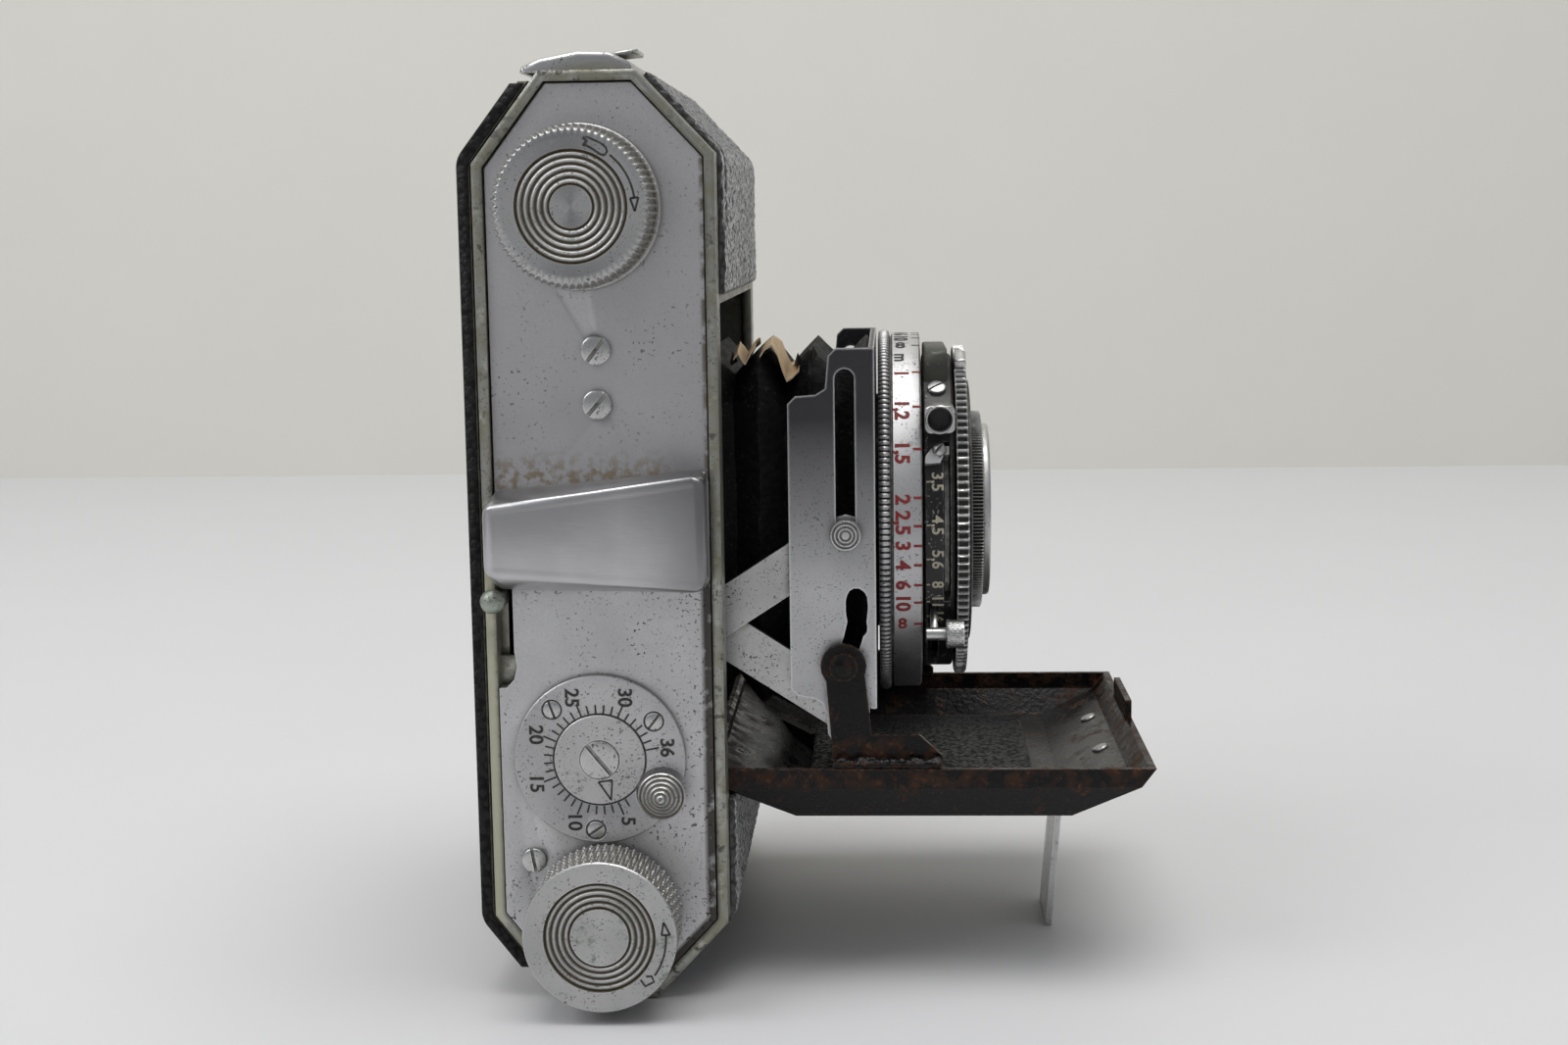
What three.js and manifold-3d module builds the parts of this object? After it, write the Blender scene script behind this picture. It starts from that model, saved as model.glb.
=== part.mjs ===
// Folding 35 mm camera with its bed open, standing on the winding end of its body.
// Millimetres. +Z is up and along the body's length, +X is the way the lens looks, and the top plate
// with its two knobs faces -Y. Z = 0 is the end face it stands on, and Y = 0 holds the optical axis.

import * as THREE from 'three';
import { mergeVertices } from 'three/addons/utils/BufferGeometryUtils.js';
import { ConvexGeometry } from 'three/addons/geometries/ConvexGeometry.js';
import Module from 'manifold-3d';

const wasm = await Module();
wasm.setup();

// ---------------------------------------------------------------- driving dimensions

const LENGTH = 121; // body, end to end
const HALF = 36.9; // top plate rim and bottom plate rim, either side of the optical axis
const FRONT = 16;
const BACK = -14.8;
const END_FRONT = 6.3; // the end faces run from END_BACK to END_FRONT, between the chamfers
const END_BACK = -6;
const FRONT_CHAMFER = 10.4; // how far the chamfers run along the body
const BACK_CHAMFER = 11.4;
const WALL = 1.3;
const DECK = { outer: 34.7, inner: 33.5 }; // the two inner decks that carry the shafts
const AXIS_Z = 60.3; // optical axis
const GAP = 0.3;

const OPENING = { low: 26.2, high: 91.5, half: 31.7 }; // front opening that the bed closes
const BED = { hinge: [13.5, 30], tip: 72.7, half: 31, rim: 29.6, floor: 22.5, sheet: 0.9 };
const FOOT_HINGE = [62, 21.3];
const BACK_HINGE = [-9.3, 2.1];
const LATCH_HINGE = [-9.3, 119.8];

const WIND = [0.3, 11.7]; // X and Z of the shafts
const REWIND = [-1.1, 104];
const COUNTER = [-0.3, 32.75];
const SPROCKET = [-5.5, 30];
const RELEASE = [7.9, 28.3];
const ADVANCE = [-13.5, 53.9];
const BED_RELEASE = [9.5, 97.5];
const TRIPOD = [1, 60];

const STRUT = { span: [38.25, 24.6], half: 3, hole: 1.5 }; // from a pivot to the far end of an arm
const BODY_PIVOT = [-6.4, 36.1];
const TAIL_PIVOT = [31.85, 36.1];
const BUTTON = [31.85, 60.7];
const BUTTON_RISE = 20.6;
const BRACKET_PIN = [31.4, 43.1];
const STANDARD_TRAVEL = 21; // per radian of the bed's fold
const BED_FOLD = Math.PI / 2;
const LAYER = {
  bracket: [27.9, 28.9],
  plate: [26.5, 27.3],
  armA: [25.3, 26.1],
  armB: [24.1, 24.9],
}; // distances from the optical axis, the same on both sides

// ---------------------------------------------------------------- solids

function solid(geometry) {
  const bare = geometry.clone();
  for (const name of Object.keys(bare.attributes)) {
    if (name !== 'position') bare.deleteAttribute(name);
  }
  const merged = mergeVertices(bare, 1e-4);
  const corners = merged.attributes.position.array;
  const triangles = [];
  for (let i = 0; i < merged.index.count; i += 3) {
    const [a, b, c] = merged.index.array.slice(i, i + 3);
    if (a !== b && b !== c && c !== a) triangles.push(a, b, c);
  }
  if (signedVolume(corners, triangles) < 0) triangles.reverse();
  return new wasm.Manifold(new wasm.Mesh({
    numProp: 3,
    vertProperties: new Float32Array(corners),
    triVerts: new Uint32Array(triangles),
  }));
}

function signedVolume(corners, triangles) {
  const point = (i) => new THREE.Vector3().fromArray(corners, 3 * i);
  let total = 0;
  for (let i = 0; i < triangles.length; i += 3) {
    const [a, b, c] = [point(triangles[i]), point(triangles[i + 1]), point(triangles[i + 2])];
    total += a.dot(b.cross(c));
  }
  return total;
}

const join = (...parts) => parts.reduce((whole, part) => whole.add(part));
const cut = (whole, ...tools) => tools.reduce((left, tool) => left.subtract(tool), whole);

function outline(points) {
  return new THREE.Shape(points.map(([a, b]) => new THREE.Vector2(a, b)));
}

function extrude(shape, depth, segments = 6) {
  return new THREE.ExtrudeGeometry(shape, { depth, bevelEnabled: false, curveSegments: segments });
}

// A prism along Y of an outline drawn in X and Z.
function prismY(shape, low, high, segments = 6) {
  const geometry = extrude(Array.isArray(shape) ? outline(shape) : shape, high - low, segments);
  return solid(geometry.rotateX(Math.PI / 2).translate(0, high, 0));
}

// The same prism for either side of the camera: side is -1 for the near side, the top plate's, and 1.
function prismSide(side, shape, [inner, outer], segments) {
  return side > 0 ? prismY(shape, inner, outer, segments) : prismY(shape, -outer, -inner, segments);
}

// A prism along the third axis of a group, of an outline drawn in its first two.
function prism(shape, low, high, segments = 6) {
  const geometry = extrude(Array.isArray(shape) ? outline(shape) : shape, high - low, segments);
  return solid(geometry.translate(0, 0, low));
}

function box(x, y, z) {
  const geometry = new THREE.BoxGeometry(x[1] - x[0], y[1] - y[0], z[1] - z[0]);
  return solid(geometry.translate((x[0] + x[1]) / 2, (y[0] + y[1]) / 2, (z[0] + z[1]) / 2));
}

function circle([a, b], radius) {
  const shape = new THREE.Shape();
  shape.absarc(a, b, radius, 0, 2 * Math.PI);
  return shape;
}

const rodY = (centre, radius, low, high, segments = 6) =>
  prismY(circle(centre, radius), low, high, segments);
const rod = (centre, radius, low, high, segments = 6) =>
  prism(circle(centre, radius), low, high, segments);
const rodSide = (side, centre, radius, layers, segments) =>
  prismSide(side, circle(centre, radius), layers, segments);

// A turned piece about the third axis of its group, from a profile of [radius, height] points.
function turned(profile, segments = 24) {
  const points = profile.map(([r, h]) => new THREE.Vector2(r, h));
  if (profile[0][0] > 0) points.push(points[0].clone());
  return solid(new THREE.LatheGeometry(points, segments).rotateX(Math.PI / 2));
}

// A straight-sided strap with round ends, in X and Z.
function capsule([ax, az], [bx, bz], radius) {
  const turn = Math.atan2(bz - az, bx - ax);
  const shape = new THREE.Shape();
  shape.absarc(bx, bz, radius, turn - Math.PI / 2, turn + Math.PI / 2);
  shape.absarc(ax, az, radius, turn + Math.PI / 2, turn + 3 * Math.PI / 2);
  return shape;
}

// A sector of a ring about the origin of its group, between two angles in degrees.
function sector(inner, outer, from, to) {
  const [a, b] = [THREE.MathUtils.degToRad(from), THREE.MathUtils.degToRad(to)];
  const shape = new THREE.Shape();
  shape.absarc(0, 0, outer, a, b);
  shape.absarc(0, 0, inner, b, a, true);
  return shape;
}

// A convex outline moved outwards by a distance.
function grow(points, distance) {
  const edges = points.map(([x, z], i) => {
    const [nx, nz] = points[(i + 1) % points.length];
    const length = Math.hypot(nx - x, nz - z);
    const out = [(nz - z) / length, (x - nx) / length];
    return { out, reach: out[0] * x + out[1] * z + distance };
  });
  return edges.map((edge, i) => {
    const last = edges[(i + edges.length - 1) % edges.length];
    const area = last.out[0] * edge.out[1] - last.out[1] * edge.out[0];
    return [
      (last.reach * edge.out[1] - edge.reach * last.out[1]) / area,
      (edge.reach * last.out[0] - last.reach * edge.out[0]) / area,
    ];
  });
}

// A strip of sheet of one thickness whose middle follows a line of points.
function strip(points, thickness) {
  const sides = points.map(([x, z], i) => {
    const before = points[Math.max(i - 1, 0)];
    const after = points[Math.min(i + 1, points.length - 1)];
    const length = Math.hypot(after[0] - before[0], after[1] - before[1]);
    const across = [(before[1] - after[1]) / length, (after[0] - before[0]) / length];
    const half = thickness / 2;
    return [[x + across[0] * half, z + across[1] * half], [x - across[0] * half, z - across[1] * half]];
  });
  return [...sides.map((side) => side[1]), ...sides.map((side) => side[0]).reverse()];
}

function hull(points) {
  return solid(new ConvexGeometry(points.map((point) => new THREE.Vector3(...point))));
}

// ---------------------------------------------------------------- scene graph

const FINISH = {
  nickel: { color: 0x8b897c, roughness: 0.45, metalness: 0.9 },
  satin: { color: 0xa9aaac, roughness: 0.4, metalness: 0.9 },
  knob: { color: 0x9c9d9a, roughness: 0.38, metalness: 0.9 },
  steel: { color: 0xb4b4b2, roughness: 0.35, metalness: 0.95 },
  brass: { color: 0xa5864a, roughness: 0.4, metalness: 0.9 },
  black: { color: 0x191a1b, roughness: 0.5, metalness: 0.4 },
  rusty: { color: 0x2c211c, roughness: 0.75, metalness: 0.5 },
  leather: { color: 0x1f2022, roughness: 0.7, metalness: 0 },
  bellows: { color: 0x141416, roughness: 0.8, metalness: 0 },
  glass: { color: 0x39424c, roughness: 0.1, metalness: 0 },
};

function add(parent, name, shape, finish, place = [0, 0, 0]) {
  const { vertProperties, triVerts } = shape.getMesh();
  const geometry = new THREE.BufferGeometry();
  geometry.setAttribute('position', new THREE.BufferAttribute(vertProperties, 3));
  geometry.setIndex(new THREE.BufferAttribute(triVerts, 1));
  geometry.computeVertexNormals();
  const mesh = new THREE.Mesh(geometry, new THREE.MeshStandardMaterial(FINISH[finish]));
  mesh.name = name;
  mesh.position.set(...place);
  parent.add(mesh);
}

const camera = new THREE.Group();

// On the top plate: X, then Z of the camera, then the height above the top plate's rim.
const top = new THREE.Group();
top.position.set(0, -HALF, 0);
top.rotation.x = Math.PI / 2;
camera.add(top);

// On the lens: Y, then Z from the optical axis, then X of the camera.
const lens = new THREE.Group();
lens.position.set(0, 0, AXIS_Z);
lens.quaternion.setFromRotationMatrix(new THREE.Matrix4().makeBasis(
  new THREE.Vector3(0, 1, 0),
  new THREE.Vector3(0, 0, 1),
  new THREE.Vector3(1, 0, 0),
));
camera.add(lens);

const SIDES = [['near', -1], ['far', 1]];

const bodyOutline = [
  [END_BACK, 0],
  [END_FRONT, 0],
  [FRONT, FRONT_CHAMFER],
  [FRONT, LENGTH - FRONT_CHAMFER],
  [END_FRONT, LENGTH],
  [END_BACK, LENGTH],
  [BACK, LENGTH - BACK_CHAMFER],
  [BACK, BACK_CHAMFER],
];
const FAR = 80; // reaches past the whole body

// ---------------------------------------------------------------- body

function bodyShell() {
  const inside = grow(bodyOutline, -WALL);
  const shafts = [[WIND, 2.8], [REWIND, 3], [SPROCKET, 1.9], [COUNTER, 1.8], [RELEASE, 2.4]];
  let shell = cut(
    prismY(bodyOutline, -HALF, HALF),
    prismY(inside, -FAR, -DECK.outer),
    prismY(inside, -DECK.inner, DECK.inner),
    prismY(inside, DECK.outer, FAR),
    box([-FAR, -10], [-DECK.inner, DECK.inner], [-1, LENGTH + 1]),
    box([10, FAR], [-OPENING.half, OPENING.half], [OPENING.low, OPENING.high]),
    ...shafts.map(([centre, radius]) => rodY(centre, radius, -HALF, -DECK.inner + 1)),
    box([-13.45, -11.4], [-HALF, -30], [46, 57]), // slot of the advance release
    rodY(BED_RELEASE, 1.6, DECK.inner - 1, HALF),
    rodY(TRIPOD, 4.2, DECK.inner - 1, HALF),
  );
  for (const [, side] of SIDES) {
    const post = join(
      rodSide(side, BODY_PIVOT, 2, [26.4, DECK.inner + 0.5]),
      rodSide(side, BODY_PIVOT, 1.2, [25.15, 27]),
    );
    const hinge = BED.hinge;
    const lug = [[hinge[0] - 1.7, 28.2], [FRONT - 1, 28.2], [FRONT - 1, 31.8], [hinge[0] - 1.7, 31.8]];
    shell = join(shell, post, prismSide(side, lug, [OPENING.half, DECK.inner + 0.5]));
    shell = cut(shell, rodSide(side, hinge, 0.9, [OPENING.half - 1, 33.2]));
    shell = join(shell, rodSide(side, BACK_HINGE, 1.5, [18.2, 30]));
  }
  return cut(
    shell,
    rodY(BACK_HINGE, 0.9, -30.6, 30.6),
    rodY(BACK_HINGE, 1.9, -17.9, 17.9),
  );
}

function screw(radius, [low, high], shank, depth, slotTurn) {
  const slot = box([-radius - 1, radius + 1], [-0.28, 0.28], [high - 0.35, high + 1]);
  const head = cut(rod([0, 0], radius, low, high, 5), slot.rotate(0, 0, slotTurn));
  return join(head, rod([0, 0], shank, low - depth, low + 0.1, 3));
}

const topPlates = grow(bodyOutline, -WALL - 0.2);
const SPLIT = 61.9; // where the two top plates meet, under the finder
const BLANK_SCREWS = [['upper', 85.9, 60], ['lower', 78.95, 55]];
const COVER_SCREW = [-9.35, 19.1];

function topPlate() {
  return cut(
    prism(topPlates, -1.9, -0.8),
    box([-FAR, FAR], [-1, SPLIT], [-5, 5]),
    rod(REWIND, 3, -5, 5),
    ...BLANK_SCREWS.map(([, z]) => rod([0.4, z], 1.2, -5, 5, 4)),
  );
}

// Where the counter cover leaves the slot of the advance release free.
const advanceCut = [
  [-20, 41.6], [-12.3, 42.2], [-11.3, 43.3], [-10.9, 45], [-11.2, 47], [-11.2, 56.5], [-11.9, 58.5], [-20, 58.5],
];

function counterCover() {
  return cut(
    prism(topPlates, -1.9, 0.2),
    box([-FAR, FAR], [SPLIT - GAP, LENGTH], [-5, 5]),
    prism(advanceCut, -5, 5),
    rod(WIND, 2.8, -5, 5),
    rod(COUNTER, 1.8, -5, 5),
    rod(RELEASE, 2.4, -5, 5),
    rod(COVER_SCREW, 1.2, -5, 5, 4),
  );
}

const FINDER = { rear: -13.7, front: 14.7, base: 0.4, top: 7.3 };

function finderBlock(inset, low, high, stretch = 0) {
  const [rear, front] = [FINDER.rear - stretch, FINDER.front + stretch];
  return hull([
    [rear, 55.3 + inset, low], [rear, 68.1 - inset, low],
    [rear, 58 + inset, high], [rear, 66.9 - inset, high],
    [front, 55.4 + inset, low], [front, 70.7 - inset, low],
    [front, 55.8 + inset, high], [front, 70.6 - inset, high],
  ]);
}

function finderHousing() {
  const skirt = prism([[-13, SPLIT + GAP], [14.2, SPLIT + GAP], [14.2, 70.4], [-13, 67.8]], -0.5, 0.6);
  return cut(join(finderBlock(0, FINDER.base, FINDER.top), skirt), finderBlock(1.4, 1.7, 6, 1));
}

function bodyPieces() {
  add(camera, 'body_shell', bodyShell(), 'nickel');
  add(top, 'top_plate', topPlate(), 'satin');
  add(top, 'counter_cover', counterCover(), 'satin');
  add(top, 'finder_housing', finderHousing(), 'satin');
  const inGlass = finderBlock(1.6, 1.9, 5.8, 1);
  const slab = (low, high) => box([low, high], [50, 80], [0, 10]);
  add(top, 'finder_front_glass', inGlass.intersect(slab(12.9, 13.9)), 'glass');
  const eyehole = box([-20, 0], [60.6, 64.4], [2.8, 4.9]);
  add(top, 'finder_eyepiece', cut(inGlass.intersect(slab(-13, -12)), eyehole), 'black');
  for (const [name, z, turn] of BLANK_SCREWS) {
    add(top, `blank_screw_${name}`, screw(1.9, [-0.7, 0.1], 0.9, 1.1, turn), 'steel', [0.4, z, 0]);
  }
  add(top, 'cover_screw', screw(1.6, [0.3, 0.9], 0.9, 2, -80), 'steel', [...COVER_SCREW, 0]);
  const bottom = cut(
    prismY(topPlates, DECK.outer + GAP, 36.2),
    rodY(TRIPOD, 4.2, 30, 40),
    rodY(BED_RELEASE, 1.6, 30, 40),
  );
  add(camera, 'bottom_plate', bottom, 'satin');
  const bush = cut(
    join(rodY(TRIPOD, 6, 36.3, 37.4), rodY(TRIPOD, 3.9, 30, 37)),
    rodY(TRIPOD, 2.6, 31, 40),
  );
  add(camera, 'tripod_bush', bush, 'steel');
}

function frontLeather(low, high) {
  const skin = cut(
    prismY(grow(bodyOutline, 1), -32, 31.9),
    prismY(grow(bodyOutline, 0.1), -FAR, FAR),
  );
  return skin.intersect(box([6.8, FAR], [-FAR, FAR], [low, high]));
}

function filmGate() {
  const [back, front] = [-8.6, -7.4];
  const gate = join(
    box([back, front], [-23.7, 23.7], [36.5, 91]),
    box([back, front], [-33.2, 33.2], [87, 91]),
  );
  const cheeks = SIDES.map(([, side]) => cut(
    prismSide(side, [[back, 40], [-3.6, 40], [-3.6, 86], [back, 86]], [22.9, 23.7]),
    prismSide(side, capsule([-6.1, 60.7], [-6.1, 60.7 + BUTTON_RISE], 1), [20, 25]),
  ));
  return cut(join(gate, ...cheeks), box([-FAR, 0], [-12, 12], [AXIS_Z - 18, AXIS_Z + 18]));
}

function backPieces() {
  const skin = (inner, outer) => cut(
    prismY(grow(bodyOutline, outer), -FAR, FAR),
    prismY(grow(bodyOutline, inner), -FAR, FAR),
  );
  const sheet = skin(0.3, 1.3);
  let cover = join(
    sheet.intersect(box([-FAR, -6.6], [-36.3, 36.3], [4.8, 119.8])),
    sheet.intersect(box([-FAR, -8], [-17.6, 17.6], [2.4, 6])),
    rodY(BACK_HINGE, 1.5, -17.6, 17.6),
    prismSide(-1, [[BACK - 0.6, 14], [-12.5, 14], [-12.5, 107], [BACK - 0.6, 107]], [32.2, 33]),
    prismSide(1, [[BACK - 0.6, 14], [-12.5, 14], [-12.5, 107], [BACK - 0.6, 107]], [32.2, 33]),
  );
  for (const [, side] of SIDES) {
    cover = join(cover, rodSide(side, LATCH_HINGE, 0.9, [6.3, 9]));
  }
  cover = cut(cover, rodY(BACK_HINGE, 0.9, -FAR, FAR), rodY(LATCH_HINGE, 1.2, -6.2, 6.2));
  add(camera, 'back_cover', cover, 'nickel');
  const panel = box([-FAR, -8.4], [-35.4, 35.4], [7.2, 117]);
  add(camera, 'back_leather', skin(1.4, 2.1).intersect(panel), 'leather');
  add(camera, 'back_hinge_pin', rodY(BACK_HINGE, 0.65, -30.2, 30.2, 3), 'steel');
  add(camera, 'pressure_plate', box([-10.5, -9.6], [-17.5, 17.5], [40, 80]), 'black');
  const leaf = strip([[-14.8, 44], [-14.8, 50], [-11, 60], [-14.8, 70], [-14.8, 76]], 0.4);
  add(camera, 'pressure_spring', prismY(leaf, -5, 5), 'steel');
  const curve = [LATCH_HINGE, [-9.2, 121.6], [-7, 122.7], [-2, 123.6], [2, 123.4], [4.6, 122]];
  const cheek = [[-9.5, 121.3], [4.9, 121.3], [4.6, 122], [2, 123.4], [-2, 123.6], [-7, 122.7], [-9.2, 121.6]];
  const latch = join(
    rodY(LATCH_HINGE, 0.9, -6, 6),
    prismY(strip(curve, 0.8), -6, 6),
    prismY(strip(curve.slice(1), 0.8), -29, 29),
    prismSide(-1, cheek, [28.2, 29]),
    prismSide(1, cheek, [28.2, 29]),
    prismY(strip([[1.5, 123.6], [5.4, 124]], 0.7), -26.5, -18.5), // lip for a finger
  );
  add(camera, 'back_latch', latch, 'nickel');
}

// ---------------------------------------------------------------- top plate controls

const RING_SCREWS = [['a', -6.4, 39.4, 40], ['b', 6.9, 37.8, 75], ['c', -1, 23.3, 35]];

function counterPieces() {
  const ring = cut(
    rod(COUNTER, 11.2, 0.3, 1, 15),
    rod(COUNTER, 6.15, 0, 2, 10),
    rod(RELEASE, 3.5, 0, 2),
    ...RING_SCREWS.map(([, x, z]) => rod([x, z], 1.45, 0, 2, 5)),
  );
  add(top, 'counter_scale', ring, 'satin');
  for (const [name, x, z, turn] of RING_SCREWS) {
    const head = cut(
      rod([0, 0], 1.25, 0.3, 1.2, 5),
      box([-3, 3], [-0.2, 0.2], [0.9, 2]).rotate(0, 0, turn),
    );
    add(top, `counter_screw_${name}`, head, 'steel', [x, z, 0]);
  }
  const disc = turned([[0, -4], [1.4, -4], [1.4, 0.4], [5.95, 0.4], [5.95, 1.1], [0, 1.1]]);
  add(top, 'counter_disc', disc, 'satin', [...COUNTER, 0]);
  const centre = cut(
    rod([0, 0], 2.5, 1.2, 1.8, 6),
    box([-4, 4], [-0.35, 0.35], [1.5, 3]).rotate(0, 0, -50),
  );
  add(top, 'counter_centre_screw', centre, 'steel', [...COUNTER, 0]);
}

function knobPieces() {
  const rewind = turned([
    [0, -8], [1.5, -8], [1.5, -0.4], [10.5, -0.4], [10.5, 1.2], [10.1, 1.6], [10.1, 7.3], [9.6, 8], [0, 8],
  ], 28);
  add(top, 'rewind_knob', rewind, 'knob', [...REWIND, 0]);
  const sleeve = turned([[1.8, -6], [2.7, -6], [2.7, -0.7], [1.8, -0.7]], 20);
  add(top, 'rewind_sleeve', sleeve, 'brass', [...REWIND, 0]);
  const fork = cut(rod([0, 0], 2.4, -13.5, -8.3, 5), box([-5, 5], [-0.9, 0.9], [-20, -10]));
  add(top, 'rewind_fork', fork, 'steel', [...REWIND, 0]);
  const wind = turned([
    [0, -3.5], [2.4, -3.5], [2.4, 0.5], [8, 0.5], [8, 1.4], [10, 1.4], [10, 9.3], [9.3, 10], [0, 10],
  ], 28);
  add(top, 'wind_knob', wind, 'knob', [...WIND, 0]);
  const spool = join(
    rodY(WIND, 2, -33, 33),
    rodY(WIND, 4.5, -18, 18),
    rodY(WIND, 8.8, -19, -17.8, 10),
    rodY(WIND, 8.8, 17.8, 19, 10),
  );
  add(camera, 'take_up_spool', spool, 'black');
  let sprocket = join(rodY(SPROCKET, 1.5, -34.3, 33), rodY(SPROCKET, 3, -17.5, 17.5));
  const TEETH = 8;
  for (let i = 0; i < TEETH; i += 1) {
    const turn = (2 * Math.PI * i) / TEETH;
    const tip = [SPROCKET[0] + 4.9 * Math.cos(turn), SPROCKET[1] + 4.9 * Math.sin(turn)];
    const tooth = strip([SPROCKET, tip], 1);
    sprocket = join(sprocket, prismY(tooth, -14.6, -13.4), prismY(tooth, 13.4, 14.6));
  }
  sprocket = join(
    sprocket,
    rodY(SPROCKET, 4.2, -16, -12),
    rodY(SPROCKET, 4.2, 12, 16),
  );
  add(camera, 'sprocket', sprocket, 'steel');
}

function buttonPieces() {
  const release = turned([
    [0, -4], [2, -4], [2, 2], [3.1, 2], [3.1, 2.7], [2.2, 3.7], [1, 4.4], [0, 4.4],
  ], 24);
  add(top, 'release_button', release, 'steel', [...RELEASE, 0]);
  const ball = solid(new THREE.SphereGeometry(1.6, 14, 10).translate(0, 0, 1.9));
  const stem = box([0.3, 1.4], [-0.8, 0.8], [-3.4, 1.9]);
  add(top, 'advance_release', join(ball, stem), 'steel', [...ADVANCE, 0]);
  const [x, z] = BED_RELEASE;
  const catchBar = join(
    rodY(BED_RELEASE, 2.6, 38, 39.4, 6),
    rodY(BED_RELEASE, 1.2, 29, 38.4, 4),
    box([x - 1.2, 12.9], [29, 30.4], [z - 1.2, z + 1.2]),
    box([11.7, 12.9], [4, 30.4], [z - 3.2, z + 1.2]),
    box([11.7, 12.9], [4, 8], [89.7, z - 3]),
  );
  add(camera, 'bed_release', catchBar, 'steel');
}

// ---------------------------------------------------------------- bed

// The tray's solid, shrunk by an inset on every side but the open one.
function tray(inset) {
  const corners = [
    [12.4 + inset, 28.1 + inset, BED.half - inset],
    [24.8 + inset / 2, BED.floor + inset, 28.3 - inset],
    [61.8 - inset / 2, BED.floor + inset, 28.3 - inset],
    [70.8 - inset, 27.1, BED.half - inset],
    [16.5, 26.7 + inset / 2, BED.half - inset],
  ];
  const rim = BED.rim + (inset > 0 ? 2 : 0);
  const tip = BED.tip - inset + (inset > 0 ? 1.4 : 0);
  corners.push([12.4 + inset, rim, BED.half - inset], [tip, rim, BED.half - inset]);
  return hull(corners.flatMap(([x, z, half]) => [[x, -half, z], [x, half, z]]));
}

// A shallow well in the floor, clear of the lens's rings while the bed folds.
function well(sheet) {
  const profile = [
    [20, 26, 17], [22.9, 22.9, 14], [25.7, 21.3, 12.5], [29.5, 20.8, 12.5], [34.3, 21.5, 12.5],
    [37.5, 23.1, 14], [39.5, 24.1, 17],
  ];
  const rim = [[20, 28, 17], [39.5, 28, 17]];
  const spread = (x) => x + (Math.sign(x - 29.5) * sheet) / 2;
  const corners = [...profile, ...(sheet > 0 ? [] : rim)];
  return hull(corners.flatMap(([x, z, half]) => [
    [spread(x), -half - sheet, z - sheet],
    [spread(x), half + sheet, z - sheet],
  ]));
}

function bedShell() {
  const [x, z] = FOOT_HINGE;
  const lug = [[x - 1.2, z + 1.6], [x - 1.2, z - 0.9], [x + 1.2, z - 0.9], [x + 1.2, z + 2]];
  const shell = join(
    cut(join(tray(0), well(BED.sheet)), tray(BED.sheet), well(0)),
    rodY(BED.hinge, 1.3, -30.8, 30.8),
    box([71.6, 72.5], [-3, 13], [28.6, 32.5]),
    prismY(lug, -8.4, -7.3),
    prismY(lug, 5.5, 6.6),
  );
  return cut(shell, rodY(BED.hinge, 0.9, -FAR, FAR), rodY(FOOT_HINGE, 0.85, -20, 20, 5));
}

function bedBracket(side) {
  const plate = [
    [29.95, 29.75], [44.5, 29.75], [44.5, 30.9], [41.4, 33.8], [35.1, 33.8], [34.2, 42], [29, 42],
  ];
  const tab = [[30, 29.75], [44.4, 29.75], [44.4, 30.4], [30, 30.4]];
  return join(
    prismSide(side, plate, LAYER.bracket),
    rodSide(side, BRACKET_PIN, 3.05, LAYER.bracket, 10),
    rodSide(side, BRACKET_PIN, 1.9, [28.5, 29.6]),
    rodSide(side, BRACKET_PIN, 0.9, [26.35, 28.2]),
    prismSide(side, tab, [28.2, 30.8]),
  );
}

function bedPieces() {
  add(camera, 'bed_shell', bedShell(), 'rusty');
  add(camera, 'bed_hinge_pin', rodY(BED.hinge, 0.65, -32.8, 32.8, 3), 'steel');
  for (const [name, side] of SIDES) add(camera, `bed_bracket_${name}`, bedBracket(side), 'rusty');
  const [x, z] = FOOT_HINGE;
  const foot = join(
    rodY(FOOT_HINGE, 1, -6.9, 5.1, 6),
    rodY(FOOT_HINGE, 0.6, -8.3, 6.5, 4),
    prismY(strip([[x, z - 0.5], [60.25, -0.5]], 0.9), -6.9, 5.1),
  );
  add(camera, 'bed_foot', foot.intersect(box([0, FAR], [-20, 20], [0, FAR])), 'steel');
}

// ---------------------------------------------------------------- standard and struts

// Where the bed's pin is in the standard's side plate, with the bed folded by an angle.
function pinPath(angle) {
  const [dx, dz] = [BRACKET_PIN[0] - BED.hinge[0], BRACKET_PIN[1] - BED.hinge[1]];
  const [cos, sin] = [Math.cos(angle), Math.sin(angle)];
  const x = BED.hinge[0] + dx * cos - dz * sin + STANDARD_TRAVEL * angle;
  return [x, BED.hinge[1] + dx * sin + dz * cos];
}

function sidePlate(side) {
  const plate = [
    [24.3, 39.9], [25.1, 38.8], [27.4, 38.4], [28.6, 37.7], [29.1, 36], [29.2, 33.6], [30.3, 31.8],
    [33.4, 32.6], [35.2, 38], [35.8, 39.4], [35.8, 85.3], [30.7, 85.3], [29.7, 84.3], [29.3, 80],
    [28, 79.2], [25.3, 79], [24.3, 78],
  ];
  const reach = [LAYER.plate[0] - 1, LAYER.plate[1] + 1];
  const STEPS = 8;
  const path = Array.from({ length: STEPS + 1 }, (_, i) => pinPath((BED_FOLD * i) / STEPS));
  const slots = path.slice(1).map((point, i) =>
    prismSide(side, capsule(path[i], point, 1.25), reach, 3));
  const raised = [BUTTON[0], BUTTON[1] + BUTTON_RISE];
  return cut(
    prismSide(side, plate, LAYER.plate),
    prismSide(side, capsule(BUTTON, raised, 1.3), reach, 5),
    ...slots,
  );
}

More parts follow.
